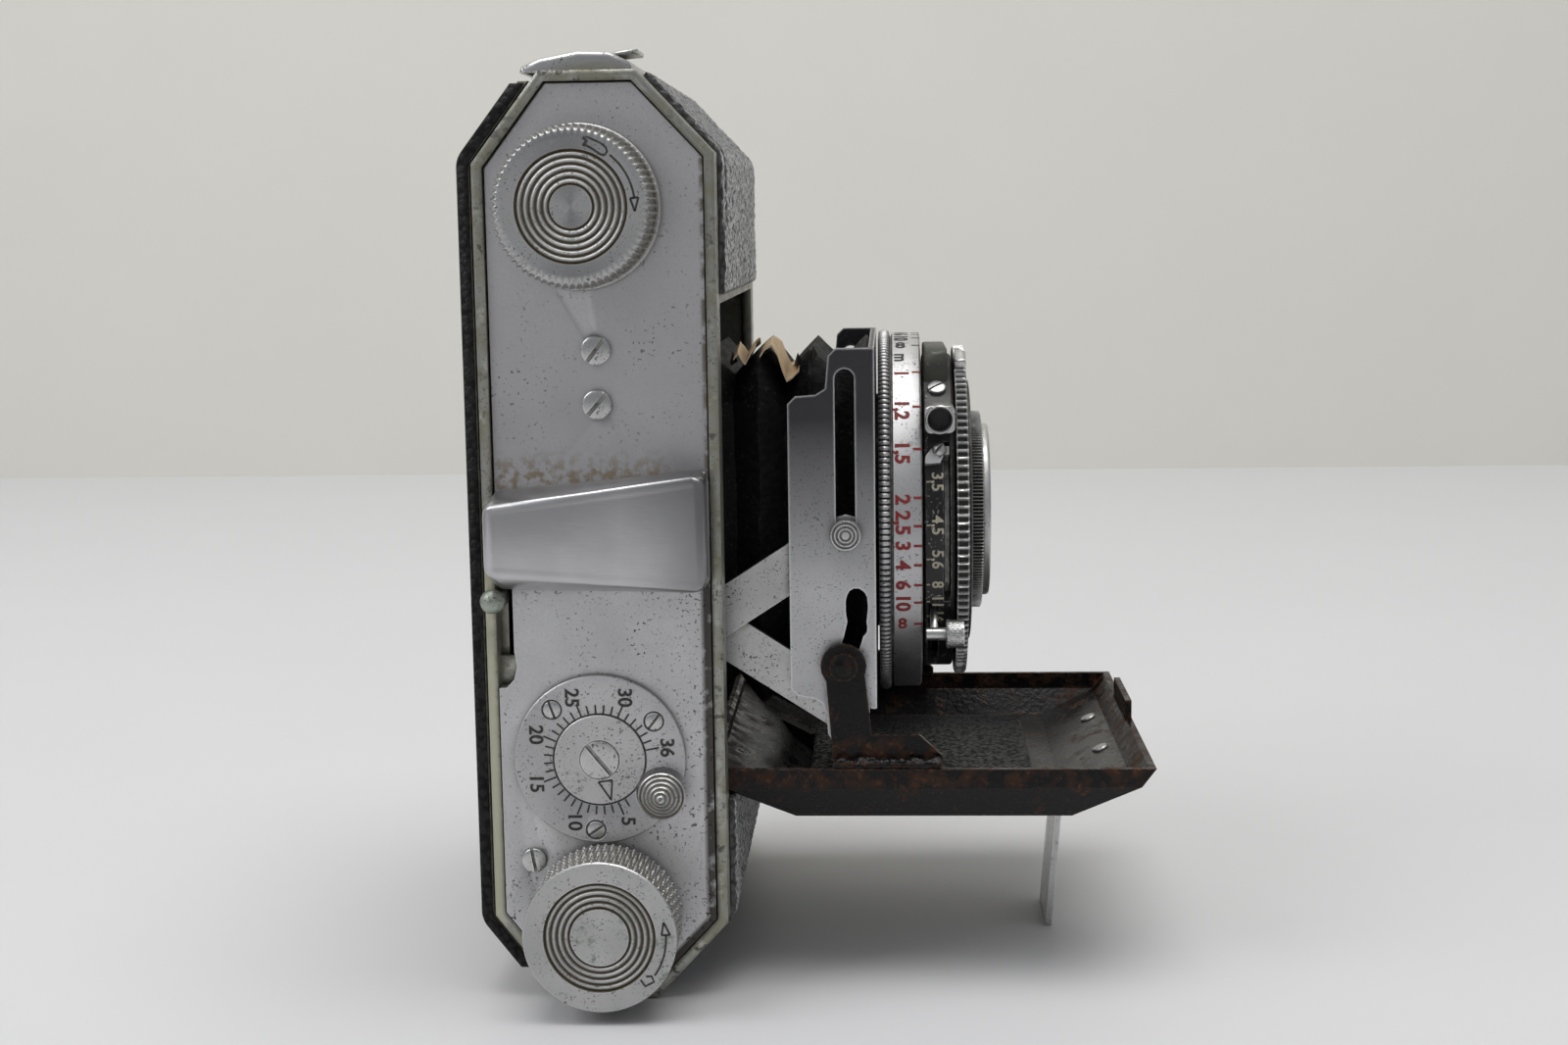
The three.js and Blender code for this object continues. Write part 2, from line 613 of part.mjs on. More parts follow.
function standardFrame() {
  const front = cut(
    box([35, 35.8], [-LAYER.plate[1], LAYER.plate[1]], [37, 85.3]),
    solid(new THREE.CylinderGeometry(17.6, 17.6, 10, 28).rotateZ(Math.PI / 2).translate(35, 0, AXIS_Z)),
    ...SIDES.map(([, side]) => prismSide(side, [[34, 56], [37, 56], [37, 90], [34, 90]], [24.9, 26.4])),
  );
  const sides = SIDES.flatMap(([, side]) => [
    sidePlate(side),
    rodSide(side, TAIL_PIVOT, 1.2, [23.9, 27]),
  ]);
  return join(front, ...sides);
}

function strap(side, from, to, layer, endHole) {
  const length = Math.hypot(to[0] - from[0], to[1] - from[1]);
  const short = (length - STRUT.half) / length;
  const stop = [from[0] + (to[0] - from[0]) * short, from[1] + (to[1] - from[1]) * short];
  const arm = join(
    prismSide(side, capsule(from, stop, STRUT.half), layer, 6),
    rodSide(side, to, 2.4, layer, 6),
  );
  const reach = [layer[0] - 1, layer[1] + 1];
  return cut(arm, rodSide(side, from, STRUT.hole, reach, 5), rodSide(side, to, endHole, reach, 5));
}

function strutPieces() {
  add(camera, 'standard_frame', standardFrame(), 'steel');
  const [dx, dz] = STRUT.span;
  for (const [name, side] of SIDES) {
    const armA = strap(side, BODY_PIVOT, [BODY_PIVOT[0] + dx, BODY_PIVOT[1] + dz], LAYER.armA, 1.4);
    const armB = strap(side, TAIL_PIVOT, [TAIL_PIVOT[0] - dx, TAIL_PIVOT[1] + dz], LAYER.armB, 1.2);
    add(camera, `strut_a_${name}`, armA, 'steel');
    add(camera, `strut_b_${name}`, armB, 'steel');
    // The slider holds the button's stem in the slot: a washer either side of the slot's edges.
    const slider = cut(
      rodSide(side, BUTTON, 1.9, [27.4, 27.7], 6),
      rodSide(side, BUTTON, 1, [20, 30], 5),
    );
    add(camera, `strut_slider_${name}`, slider, 'steel');
    const button = join(
      rodSide(side, BUTTON, 2.1, [28.3, 29.1], 8),
      rodSide(side, BUTTON, 0.8, [26.35, 28.6], 5),
    );
    add(camera, `strut_button_${name}`, button, 'steel');
  }
}

function bellows() {
  const [back, front] = [-7.1, 34.7];
  const [peak, valley, thickness] = [23.4, 19.6, 1];
  const PLEATS = 4;
  const step = (front - back) / PLEATS;
  const outer = [];
  for (let i = 0; i < PLEATS; i += 1) {
    outer.push([valley, back + i * step], [peak, back + (i + 0.5) * step]);
  }
  outer.push([valley, front]);
  const inner = outer.map(([r, h]) => [r - thickness, h]).reverse();
  const points = [...outer, ...inner, outer[0]].map(([r, h]) => new THREE.Vector2(r * Math.SQRT2, h));
  const square = new THREE.LatheGeometry(points, 4).rotateY(Math.PI / 4).rotateX(Math.PI / 2);
  const narrower = 22.4 / 23.4;
  return solid(square.scale(narrower, 1, 1));
}

// ---------------------------------------------------------------- lens and shutter

const SOCKET_TURN = 141.7; // degrees round the optical axis, from +Y towards +Z
const COCKING_TURN = 212.5;
const POINTER_TURN = 152.5;

const polar = (radius, degrees) => [
  radius * Math.cos(THREE.MathUtils.degToRad(degrees)),
  radius * Math.sin(THREE.MathUtils.degToRad(degrees)),
];

function shutterHousing() {
  const turnedBody = turned([
    [13.6, 33], [16.8, 33], [16.8, 42.4], [22.5, 42.4], [22.5, 46.5], [18.2, 46.5], [18.2, 48.3],
    [10.4, 48.3], [10.4, 46], [20.5, 46], [20.5, 43.6], [10.4, 43.6], [10.4, 41.2], [13.6, 41.2],
  ], 30);
  const gearBlock = [[-13, 17], [10, 18.5], [10, 21.6], [8, 23.9], [-11, 23.9], [-13, 21.5]];
  const block = cut(prism(gearBlock, 42.6, 45.8), rod([0, 0], 21.5, 40, 48, 14));
  return cut(
    join(turnedBody, block),
    prism(sector(18.5, 24, COCKING_TURN - 5, COCKING_TURN + 41), 42.9, 44.3),
    prism(sector(19.5, 24, POINTER_TURN - 4, POINTER_TURN + 54), 45, 45.9),
  );
}

function cableSocket() {
  const [y, z] = polar(24.07, SOCKET_TURN);
  const along = (radius, low, high, segments) => solid(
    new THREE.CylinderGeometry(radius, radius, high - low, segments)
      .rotateZ(-Math.PI / 2)
      .translate((low + high) / 2, z, 44.5),
  );
  return cut(
    along(1.9, y - 1.5, y + 4, 16),
    along(1.2, y - 3, y + 1.5, 12),
    rod([0, 0], 22.8, 40, 48, 24),
  );
}

function lensPieces() {
  add(lens, 'bellows', bellows(), 'bellows');
  const focus = turned([
    [17.6, 36.2], [26, 36.2], [26, 37.9], [25.5, 37.9], [25.5, 42.1], [17.6, 42.1],
  ], 40);
  add(lens, 'focus_ring', focus, 'steel');
  add(lens, 'shutter_housing', shutterHousing(), 'black');
  add(lens, 'cable_socket', cableSocket(), 'steel');
  const ring = turned([[18.6, 46.8], [23.7, 46.8], [23.7, 48.4], [18.6, 48.4]], 36);
  const grip = prism(sector(22, 24.9, 110, 117), 46.8, 48.4);
  add(lens, 'speed_ring', join(ring, grip), 'knob');
  const cell = turned([
    [8.8, 44.8], [10.1, 44.8], [10.1, 48.6], [18.7, 48.6], [18.7, 49], [14.2, 49], [14.2, 50.8],
    [12.4, 50.8], [12.4, 51.8], [11.6, 51.8], [9.6, 50.4], [8.8, 50],
  ], 30);
  add(lens, 'front_cell', cell, 'knob');
  const glass = turned([[0, 45.6], [8.5, 46.4], [8.5, 48.9], [4.5, 49.8], [0, 50.1]], 20);
  add(lens, 'front_glass', glass, 'glass');
  const rear = turned([[8.6, 28.5], [10.1, 28.5], [10.1, 43.1], [8.6, 43.1]], 20);
  add(lens, 'rear_cell', rear, 'black');
  add(lens, 'shutter_blades', rod([0, 0], 18.2, 43.9, 44.2, 12), 'black');
  const [pointerY, pointerZ] = polar(23.6, POINTER_TURN);
  const pointer = join(
    cut(rod([0, 0], 20.2, 45.15, 45.75, 12), rod([0, 0], 12, 40, 50, 10)),
    prism(sector(19.8, 23.2, POINTER_TURN - 1.5, POINTER_TURN + 1.5), 45.15, 45.75),
    prism(sector(22.8, 24.2, POINTER_TURN - 3, POINTER_TURN + 3), 43.4, 45.75),
    rod([pointerY, pointerZ], 0.5, 43.4, 45.75, 3),
  );
  add(lens, 'aperture_lever', pointer, 'steel');
  const lever = join(
    prism(sector(19, 26.4, COCKING_TURN - 1.6, COCKING_TURN + 1.6), 43.1, 44.1),
    rod(polar(26.3, COCKING_TURN), 0.9, 42.5, 45.6, 5),
    rod(polar(26.3, COCKING_TURN), 2, 45.2, 47.7, 6),
  );
  add(lens, 'cocking_lever', lever, 'steel');
}

bodyPieces();
add(camera, 'front_leather_upper', frontLeather(92.7, LENGTH + 0.3), 'leather');
add(camera, 'front_leather_lower', frontLeather(0.2, 25.8), 'leather');
add(camera, 'film_gate', filmGate(), 'black');
backPieces();
counterPieces();
knobPieces();
buttonPieces();
bedPieces();
strutPieces();
lensPieces();

export default camera;
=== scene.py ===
import math
from functools import reduce

import bmesh
import bpy
from mathutils import Matrix, Vector, noise


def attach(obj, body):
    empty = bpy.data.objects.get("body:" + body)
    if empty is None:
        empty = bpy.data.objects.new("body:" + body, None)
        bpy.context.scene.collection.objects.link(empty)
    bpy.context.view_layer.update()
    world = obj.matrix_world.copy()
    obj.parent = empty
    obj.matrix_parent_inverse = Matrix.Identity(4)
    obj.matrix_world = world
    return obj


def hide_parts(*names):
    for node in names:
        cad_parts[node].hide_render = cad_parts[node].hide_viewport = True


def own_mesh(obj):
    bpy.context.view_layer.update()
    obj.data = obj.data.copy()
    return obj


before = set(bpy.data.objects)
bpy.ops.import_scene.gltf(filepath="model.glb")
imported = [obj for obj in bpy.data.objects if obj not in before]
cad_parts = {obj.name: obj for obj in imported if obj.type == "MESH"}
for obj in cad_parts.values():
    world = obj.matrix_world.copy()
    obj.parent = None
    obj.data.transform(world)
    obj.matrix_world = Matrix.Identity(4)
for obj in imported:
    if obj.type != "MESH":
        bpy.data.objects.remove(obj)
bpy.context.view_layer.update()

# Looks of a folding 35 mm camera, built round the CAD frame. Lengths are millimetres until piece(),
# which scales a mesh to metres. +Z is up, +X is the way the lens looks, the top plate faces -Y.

MM = 0.001
BODY = "camera_body"
TOP_FACE = -36.9  # Y of the body's rim round the top plate
AXIS_Z = 60.3  # height of the lens's axis
BODY_OUTLINE = [
    (-6, 0), (6.3, 0), (16, 10.4), (16, 110.6), (6.3, 121), (-6, 121), (-14.8, 109.6), (-14.8, 11.4),
]
WIND = (0.3, 11.7)
REWIND = (-1.1, 104)
COUNTER = (-0.3, 32.75)
RELEASE = (7.9, 28.3)
ADVANCE = (-13.5, 53.9)
COVER_SCREW = (-9.35, 19.1)
BACK_HINGE = (-9.3, 2.1)
LATCH_HINGE = (-9.3, 119.8)
BED_HINGE = (13.5, 30)
BLANK_SCREWS = {"upper": (0.4, 85.9, 52), "lower": (0.4, 78.95, 48)}
RING_SCREWS = {"a": (-6.4, 39.4, -70), "b": (6.9, 37.8, 52), "c": (-1, 23.3, 35)}

# Frames in millimetres: on the top plate (X, Z, height above the rim), on the near side (X, Z, distance
# from the optical axis), on the far side (-X, Z, distance), and on the lens (Y, Z from the axis, X).
ROW = Matrix()
TOP = Matrix(((1, 0, 0, 0), (0, 0, -1, TOP_FACE), (0, 1, 0, 0), (0, 0, 0, 1)))
NEAR = Matrix(((1, 0, 0, 0), (0, 0, -1, 0), (0, 1, 0, 0), (0, 0, 0, 1)))
FAR = Matrix(((-1, 0, 0, 0), (0, 0, 1, 0), (0, 1, 0, 0), (0, 0, 0, 1)))
LENS = Matrix(((0, 0, 1, 0), (1, 0, 0, 0), (0, 1, 0, AXIS_Z), (0, 0, 0, 1)))


def at(base, a, b, c=0.0):
    return base @ Matrix.Translation((a, b, c))


def turned_by(degrees, axis="Z"):
    return Matrix.Rotation(math.radians(degrees), 4, axis)


def polar(radius, degrees):
    angle = math.radians(degrees)
    return radius * math.cos(angle), radius * math.sin(angle)


ON_WIND, ON_REWIND, ON_COUNTER = (at(TOP, *place) for place in (WIND, REWIND, COUNTER))

# ---- materials


class Finish:
    """A node material built up in layers: each mask lays a colour, a gloss or a height over what is there."""

    def __init__(self, name, slot, colour, rough, metal=0.0, **extra):
        self.material = bpy.data.materials.new(name)
        self.material.use_nodes = True
        self.material["slot"] = slot
        self.tree = self.material.node_tree
        self.tree.nodes.clear()
        self.place = self.node("TexCoord").outputs["Object"]
        self.colour = (*colour, 1)
        self.rough = rough
        self.metal = metal
        self.height = None
        self.extra = {key.replace("_", " "): value for key, value in extra.items()}

    def node(self, kind, inputs=None, **settings):
        made = self.tree.nodes.new("ShaderNode" + kind)
        for key, value in settings.items():
            setattr(made, key, value)
        for key, value in (inputs or {}).items():
            if isinstance(value, bpy.types.NodeSocket):
                self.tree.links.new(value, made.inputs[key])
            else:
                made.inputs[key].default_value = value
        return made

    def maths(self, operation, *values):
        return self.node("Math", dict(enumerate(values)), operation=operation).outputs[0]

    def all(self, *masks):
        return reduce(lambda a, b: self.maths("MULTIPLY", a, b), masks)

    def any(self, *masks):
        return reduce(lambda a, b: self.maths("MAXIMUM", a, b), masks)

    def span(self, value, low, high):
        inputs = {"Value": value, "From Min": low, "From Max": high}
        return self.node("MapRange", inputs).outputs["Result"]

    def stretched(self, stretch, shift):
        inputs = {"Vector": self.place, "Scale": stretch, "Location": (shift, shift, shift)}
        return self.node("Mapping", inputs).outputs["Vector"]

    def noise(self, size, low=0.0, high=1.0, shift=0.0, stretch=(1, 1, 1), detail=4.0):
        inputs = {"Vector": self.stretched(stretch, shift), "Scale": 1 / (size * MM), "Detail": detail}
        return self.span(self.node("TexNoise", inputs).outputs["Fac"], low, high)

    def specks(self, size, low, high, zone, zone_low, zone_high, shift=0.0, detail=1.0):
        """Fine noise, only where a coarser noise lets it through."""
        fine = self.noise(size, low, high, detail=detail)
        return self.all(fine, self.noise(zone, zone_low, zone_high, shift))

    def cells(self, size, low, high):
        inputs = {"Vector": self.place, "Scale": 1 / (size * MM)}
        return self.span(self.node("TexVoronoi", inputs).outputs["Distance"], low, high)

    def crevice(self, distance=2.0, low=0.35, high=0.95):
        occlusion = self.node("AmbientOcclusion", {"Distance": distance * MM}, samples=6)
        return self.span(occlusion.outputs["AO"], high, low)

    def dot(self, first, second, low, high):
        dot = self.node("VectorMath", {0: first, 1: second}, operation="DOT_PRODUCT")
        return self.span(dot.outputs["Value"], low, high)

    def edge(self, radius=0.35, low=0.02, high=0.25):
        rounded = self.node("Bevel", {"Radius": radius * MM}, samples=4).outputs["Normal"]
        normal = self.node("NewGeometry").outputs["Normal"]
        return self.dot(rounded, normal, 1 - low, 1 - high)

    def axis(self, which, low, high):
        return self.slant([float(i == which) for i in range(3)], low, high)

    def slant(self, normal, low, high):
        return self.dot(self.place, normal, low * MM, high * MM)

    def radius(self):
        """The distance from the piece's own Z axis."""
        x, y, _ = self.node("SeparateXYZ", {0: self.place}).outputs
        return self.maths("SQRT", self.maths("ADD", self.all(x, x), self.all(y, y)))

    def mix(self, old, new, mask, amount):
        return self.node("Mix", {0: self.all(mask, amount), 2: old, 3: new}).outputs[0]

    def gloss(self, mask, rough, amount=1.0):
        self.rough = self.mix(self.rough, rough, mask, amount)
        return self

    def tint(self, mask, colour, amount=1.0, rough=None, rough_amount=1.0, plain=0.0):
        """Lays a colour over a mask, and with it a roughness and a loss of metal."""
        inputs = {0: self.all(mask, amount), 6: self.colour, 7: (*colour, 1)}
        self.colour = self.node("Mix", inputs, data_type="RGBA").outputs[2]
        if rough is not None:
            self.gloss(mask, rough, rough_amount)
        if plain:
            self.metal = self.mix(self.metal, 0.0, mask, plain)
        return self

    def bump(self, height, depth, strength=1.0):
        inputs = {"Height": height, "Distance": depth * MM, "Strength": strength}
        if self.height is not None:
            inputs["Normal"] = self.height
        self.height = self.node("Bump", inputs).outputs["Normal"]
        return self

    def pitted(self, holes, depth, strength):
        return self.bump(self.maths("SUBTRACT", 1.0, holes), depth, strength)

    def turned(self, amount):
        """Fine turning marks round the piece's own Z axis."""
        tangent = self.node("Tangent", direction_type="RADIAL", axis="Z")
        self.extra = {"Anisotropic": amount, "Tangent": tangent.outputs[0]}
        height = self.node("SeparateXYZ", {0: self.place}).outputs[2]
        across = self.node("CombineXYZ", {0: self.radius(), 2: height}).outputs[0]
        lines = self.node("TexNoise", {"Vector": across, "Scale": 1 / (0.09 * MM)}).outputs["Fac"]
        return self.bump(lines, 0.01, 0.35).gloss(self.span(lines, 0.3, 0.7), 0.5, 0.35)

    def done(self):
        inputs = {"Base Color": self.colour, "Roughness": self.rough, "Metallic": self.metal, **self.extra}
        if self.height is not None:
            inputs["Normal"] = self.height
        surface = self.node("BsdfPrincipled", inputs).outputs[0]
        self.node("OutputMaterial", {"Surface": surface})
        return self.material


PIT = (0.035, 0.032, 0.028)


def shaded(colour, factor, lift=0.0):
    return tuple(factor * c + lift for c in colour)


def aged(name, slot, colour, rough, pits=0.5, grime_and_shade=0.6, shift=0.0, brush=None, soft=0.0):
    """Old plated or polished metal: cloudy tone, fine scratches, black pits, grime and painted shade in the
    corners.
    """
    made = Finish(name, slot, colour, rough, 1.0)
    if soft:
        made.height = made.node("Bevel", {"Radius": soft * MM}, samples=6).outputs["Normal"]
    dull = shaded(colour, 0.72)
    made.tint(made.noise(9, 0.3, 0.75, shift), dull, 0.55, rough + 0.16, 0.8)
    lines = made.noise(0.25, 0.35, 0.65, shift, brush or (1, 1, 1), 2)
    made.tint(lines, dull, 0.16, rough + 0.1, 0.6).bump(lines, 0.012, 0.25 if brush else 0.12)
    made.tint(made.edge(), tuple(min(c, 0.95) for c in shaded(colour, 1.5, 0.1)), 0.55)
    if pits:
        patch = made.noise(5, 0.6 - 0.14 * pits, 0.78 - 0.1 * pits, shift + 0.3)
        spots = made.noise(0.55, 0.6, 0.66, shift + 0.7, detail=2)
        holes = made.any(made.all(patch, spots), made.specks(0.3, 0.63, 0.68, 2.5, 0.4, 0.6, shift))
        made.tint(holes, PIT, 0.85, 0.8, plain=0.8).pitted(holes, 0.05, 0.5)
    dirt = made.all(made.crevice(1.2), made.noise(1.2, 0.2, 0.6, shift))
    made.tint(dirt, (0.1, 0.085, 0.05), grime_and_shade, 0.75, grime_and_shade, grime_and_shade * 0.8)
    # Painted shade: an even near-black in the tightest corners.
    return made.tint(made.crevice(0.5, 0.25, 0.8), (0.02, 0.018, 0.014), min(grime_and_shade, 0.9), plain=0.8)


def shell_metal():
    """Worn nickel with yellow-green stains, bright rubbed spots, a dark groove and one pale strip."""
    made = aged("rim_nickel", "nickel", (0.4, 0.4, 0.365), 0.34, 0.6, 0.85, brush=(1, 1, 0.08), soft=0.9)
    made.tint(made.noise(3, 0.42, 0.66, 0.9), (0.25, 0.24, 0.155), 0.75, plain=0.35)
    worn = made.all(made.noise(2.4, 0.52, 0.66, 0.15), made.noise(0.7, 0.4, 0.6))
    made.tint(worn, (0.55, 0.55, 0.51), 0.7, 0.3)
    black = made.all(made.noise(1.1, 0.58, 0.66, 0.45), made.noise(9, 0.4, 0.6, 0.2))
    made.tint(black, PIT, 0.75, 0.8, plain=0.8)
    groove = made.all(made.crevice(1.0, 0.45, 0.8), made.noise(1.8, 0.3, 0.5, 0.6))
    made.tint(groove, (0.045, 0.035, 0.015), 0.85, 0.8, plain=0.8)
    pale = made.all(made.axis(2, 60, 56), made.axis(0, -13.2, -14), made.noise(6, 0.2, 0.4))
    return made.tint(pale, (0.52, 0.51, 0.38), 0.85, 0.5, plain=0.8).done()


def top_metal():
    """Satin plate with a rust-brown deposit that creeps up from the finder and along the rim, and painted
    light that brightens it towards the top.
    """
    made = aged("top_satin", "satin", (0.52, 0.515, 0.525), 0.42, 0, 0.4)
    # Painted light: the plate is lighter towards the top.
    made.tint(made.axis(2, 72, 116), (0.66, 0.655, 0.665), 0.9)
    grit = made.noise(0.16, 0.35, 0.65, detail=2)
    made.bump(grit, 0.02, 0.25).tint(grit, (0.42, 0.415, 0.425), 0.3)
    made.tint(made.specks(0.5, 0.66, 0.7, 7, 0.45, 0.6), PIT, 0.7, plain=0.7)
    stain = made.all(made.axis(2, 73.4, 70), made.axis(0, 12, 8), made.noise(1.3, 0.45, 0.6, 0.4))
    made.tint(stain, (0.22, 0.15, 0.05), 0.7, 0.8, plain=0.7)
    border = made.all(made.axis(0, 13.8, 14.2), made.noise(1.6, 0.4, 0.55, 0.8))
    return made.tint(border, (0.11, 0.085, 0.045), 0.8, 0.8, plain=0.8).done()


def cover_metal():
    """Satin cover, pitted towards its ends, darkened along its front border and lower chamfer."""
    made = aged("counter_cover_satin", "satin", (0.67, 0.668, 0.675), 0.4, 0, 0.5)
    grit = made.noise(0.13, 0.35, 0.65, detail=2)
    made.bump(grit, 0.015, 0.3).tint(grit, (0.45, 0.447, 0.45), 0.35)
    zone = made.any(made.axis(0, 5, 13), made.axis(2, 52, 56), made.axis(2, 24, 12))
    spots = made.all(zone, made.noise(0.5, 0.62, 0.66, 0.15, detail=2), made.noise(3, 0.4, 0.55))
    spots = made.any(spots, made.specks(0.4, 0.67, 0.7, 5, 0.4, 0.6, 0.5))
    made.tint(spots, PIT, 0.9, 0.8, plain=0.9).pitted(spots, 0.06, 0.5)
    border = made.any(made.axis(0, 13.1, 13.7), made.slant((0.731, 0, -0.682), 1.9, 2.4))
    border = made.all(border, made.noise(1.8, 0.25, 0.45, 0.8))
    return made.tint(border, (0.022, 0.017, 0.009), 0.93, 0.8, plain=0.95).done()


def plate_metal():
    """Satin plate with painted shade that darkens it towards the top of the standard, and painted highlights
    along its edges.
    """
    made = aged("standard_satin", "satin", (0.6, 0.6, 0.61), 0.34, 0.04, 0.5, 0.2)
    # Painted shade: darker towards the top.
    made.tint(made.axis(2, 52, 76), (0.045, 0.045, 0.05), 0.95)
    # Painted highlight along the edges.
    return made.tint(made.edge(0.5, 0.02, 0.2), (0.9, 0.9, 0.91), 0.9).done()


def finder_metal():
    """Polished sheet with painted shade darkening it towards the front end, and painted highlights along its
    edges.
    """
    made = aged("finder_satin", "satin", (0.58, 0.575, 0.585), 0.28, 0, 0.3, brush=(0.1, 1, 1))
    # Painted shade: darker towards the front end.
    made.tint(made.axis(0, 4, 13), (0.22, 0.22, 0.225), 0.8)
    # Painted highlight along the edges.
    return made.tint(made.edge(0.8, 0.02, 0.3), (0.9, 0.9, 0.9), 0.6).done()


def ribbed_metal(name, slot, colour, rough, outer, depth, low, high):
    """Turned metal with painted shade blackening the gaps between the ribs of its rim."""
    made = aged(name, slot, colour, rough, 0.08, 0.8).turned(0.6)
    radius = made.radius()
    gap = made.span(radius, (outer - 0.35 * depth) * MM, (outer - 0.85 * depth) * MM)
    rim = made.span(radius, (outer - 1.6 * depth) * MM, (outer - 1.3 * depth) * MM)
    gap = made.all(gap, rim, made.axis(2, low - 0.02, low + 0.05), made.axis(2, high + 0.02, high - 0.05))
    # Painted shade: near-black between the ribs.
    return made.tint(gap, (0.012, 0.011, 0.01), 0.95, 0.8, plain=0.9).done()


def knob_metal():
    """Turned knob with brown dirt in its grooves and green-black stains on its face."""
    made = aged("turned_knob", "knob", (0.5, 0.5, 0.495), 0.27, 0.12, 0.75).turned(0.7)
    made.tint(made.crevice(1.0, 0.3, 0.92), (0.16, 0.125, 0.06), 0.75, 0.7, plain=0.6)
    green = made.all(made.noise(2.6, 0.62, 0.7, 0.35), made.noise(0.5, 0.4, 0.6))
    return made.tint(green, (0.12, 0.17, 0.11), 0.7, plain=0.7).done()


def leather(name, colour, sheen):
    """Black leather whose pebbles are in the mesh: fine wrinkles, painted shade in the valleys between the
    pebbles, dust in the valleys, grey wear on top.
    """
    made = Finish(name, "leather", colour, 0.34, Specular_IOR_Level=0.2 + 0.7 * sheen, Sheen_Weight=sheen,
                  Sheen_Roughness=0.3)
    pits = made.cells(0.8, 0.35, 0.75)
    made.bump(made.noise(0.22, 0.3, 0.7, detail=3), 0.05, 0.6).pitted(pits, 0.12, 0.8)
    made.tint(made.noise(7, 0.4, 0.75), shaded(colour, 1.8), 0.6, 0.46, 0.5)
    # Painted shade: darker in the valleys between the pebbles.
    made.tint(pits, (0.004, 0.004, 0.004), 0.8, 0.9)
    dust = made.all(made.crevice(0.35, 0.5, 0.95), made.noise(1.2, 0.3, 0.6))
    made.tint(dust, (0.13, 0.125, 0.11), 0.5, 0.8, 0.6)
    scuffs = made.all(made.edge(0.5), made.noise(1.5, 0.45, 0.6))
    return made.tint(scuffs, (0.12, 0.11, 0.095), 0.45).done()


def bellows_leather():
    """Dull black skin with creases across its pleats, worn brown on the ridges."""
    made = Finish("bellows_leather", "bellows", (0.0035, 0.0035, 0.004), 0.62, Specular_IOR_Level=0.25)
    creases = made.noise(1.4, 0.4, 0.6, stretch=(0.25, 1.6, 1.6))
    made.bump(made.noise(0.4, 0.3, 0.7, detail=5), 0.05, 0.6).bump(creases, 0.15, 0.5)
    made.tint(creases, (0.009, 0.009, 0.0095), 0.7, 0.8, 0.6)
    worn = made.all(made.edge(0.8, 0.03, 0.3), made.noise(2.2, 0.46, 0.64))
    made.tint(worn, (0.07, 0.058, 0.045), 0.55, 0.8)
    return made.tint(made.specks(0.5, 0.62, 0.68, 6, 0.45, 0.6, detail=2), (0.09, 0.09, 0.088), 0.4).done()


def lining_cloth():
    """The tan lining that shows where the bellows are torn."""
    made = Finish("torn_lining", "bellows", (0.5, 0.35, 0.19), 0.75)
    made.tint(made.noise(1.5, 0.35, 0.7), (0.68, 0.54, 0.36), 0.8)
    made.tint(made.edge(0.5), (0.78, 0.67, 0.5), 0.6)
    made.bump(made.noise(0.12, 0.35, 0.65, detail=2), 0.03, 0.6)
    # Painted shade: dark brown in the folds and corners.
    return made.tint(made.crevice(1.5), (0.08, 0.045, 0.02), 0.7).done()


def painted(name, slot, colour=(0.006, 0.006, 0.0065), rough=0.3, wear=0.55):
    """Black enamel over metal, rubbed through along its edges."""
    made = Finish(name, slot, colour, rough)
    made.tint(made.noise(3.5, 0.35, 0.7), shaded(colour, 1.6), 0.6, rough + 0.25, 0.7)
    made.bump(made.noise(0.2, 0.35, 0.65, detail=2), 0.012, 0.3)
    rubbed = made.all(made.edge(0.3, 0.02, 0.2), made.noise(0.9, 0.42, 0.58))
    gone = made.all(made.any(rubbed, made.specks(0.5, 0.63, 0.66, 4, 0.5, 0.6, detail=2)), wear)
    made.tint(gone, (0.5, 0.5, 0.48), 1.0, 0.42)
    dust = made.all(made.crevice(1.6), made.noise(0.8, 0.3, 0.6))
    return made.tint(dust, (0.1, 0.095, 0.075), 0.4, 0.9).done()


def rusty():
    """Black enamel, glossy in places, with rust along its edges and in spots on its faces, and a painted
    reflection of the floor lightening it towards the bottom.
    """
    made = Finish("rusty_enamel", "rusty", (0.0036, 0.0036, 0.0038), 0.24, Specular_IOR_Level=0.2)
    # Painted reflection of the floor: lighter towards the bottom.
    made.tint(made.axis(2, 28.2, 26.6), (0.008, 0.0077, 0.0077), 0.9)
    made.tint(made.noise(7, 0.42, 0.72), (0.011, 0.0105, 0.01), 0.7, 0.46)
    pebbles = made.noise(0.7, 0.38, 0.62, detail=3)
    made.bump(pebbles, 0.035, 0.5).gloss(pebbles, 0.16, 0.4)
    patch = made.all(made.noise(4, 0.56, 0.68, 0.5), made.noise(0.6, 0.42, 0.62))
    rims = made.all(made.axis(2, 26.5, 28.2), made.axis(2, 34, 32.5), made.noise(2.2, 0.44, 0.62, 0.2), 0.6)
    edges = made.all(made.edge(0.5, 0.02, 0.25), made.noise(1.2, 0.38, 0.56, 0.6))
    rust = made.any(patch, rims, edges)
    made.tint(rust, (0.075, 0.032, 0.016), 0.85, 0.8).bump(made.all(rust, pebbles), 0.12, 0.7)
    made.tint(made.all(rust, made.noise(0.8, 0.55, 0.66, 1.1)), (0.17, 0.066, 0.022), 0.7)
    bright = made.all(made.edge(0.2, 0.03, 0.3), made.noise(0.8, 0.5, 0.6, 0.8))
    made.tint(bright, (0.28, 0.25, 0.21), 0.5)
    return made.tint(made.specks(0.4, 0.66, 0.7, 5, 0.5, 0.62, detail=2), (0.16, 0.1, 0.06), 0.5).done()


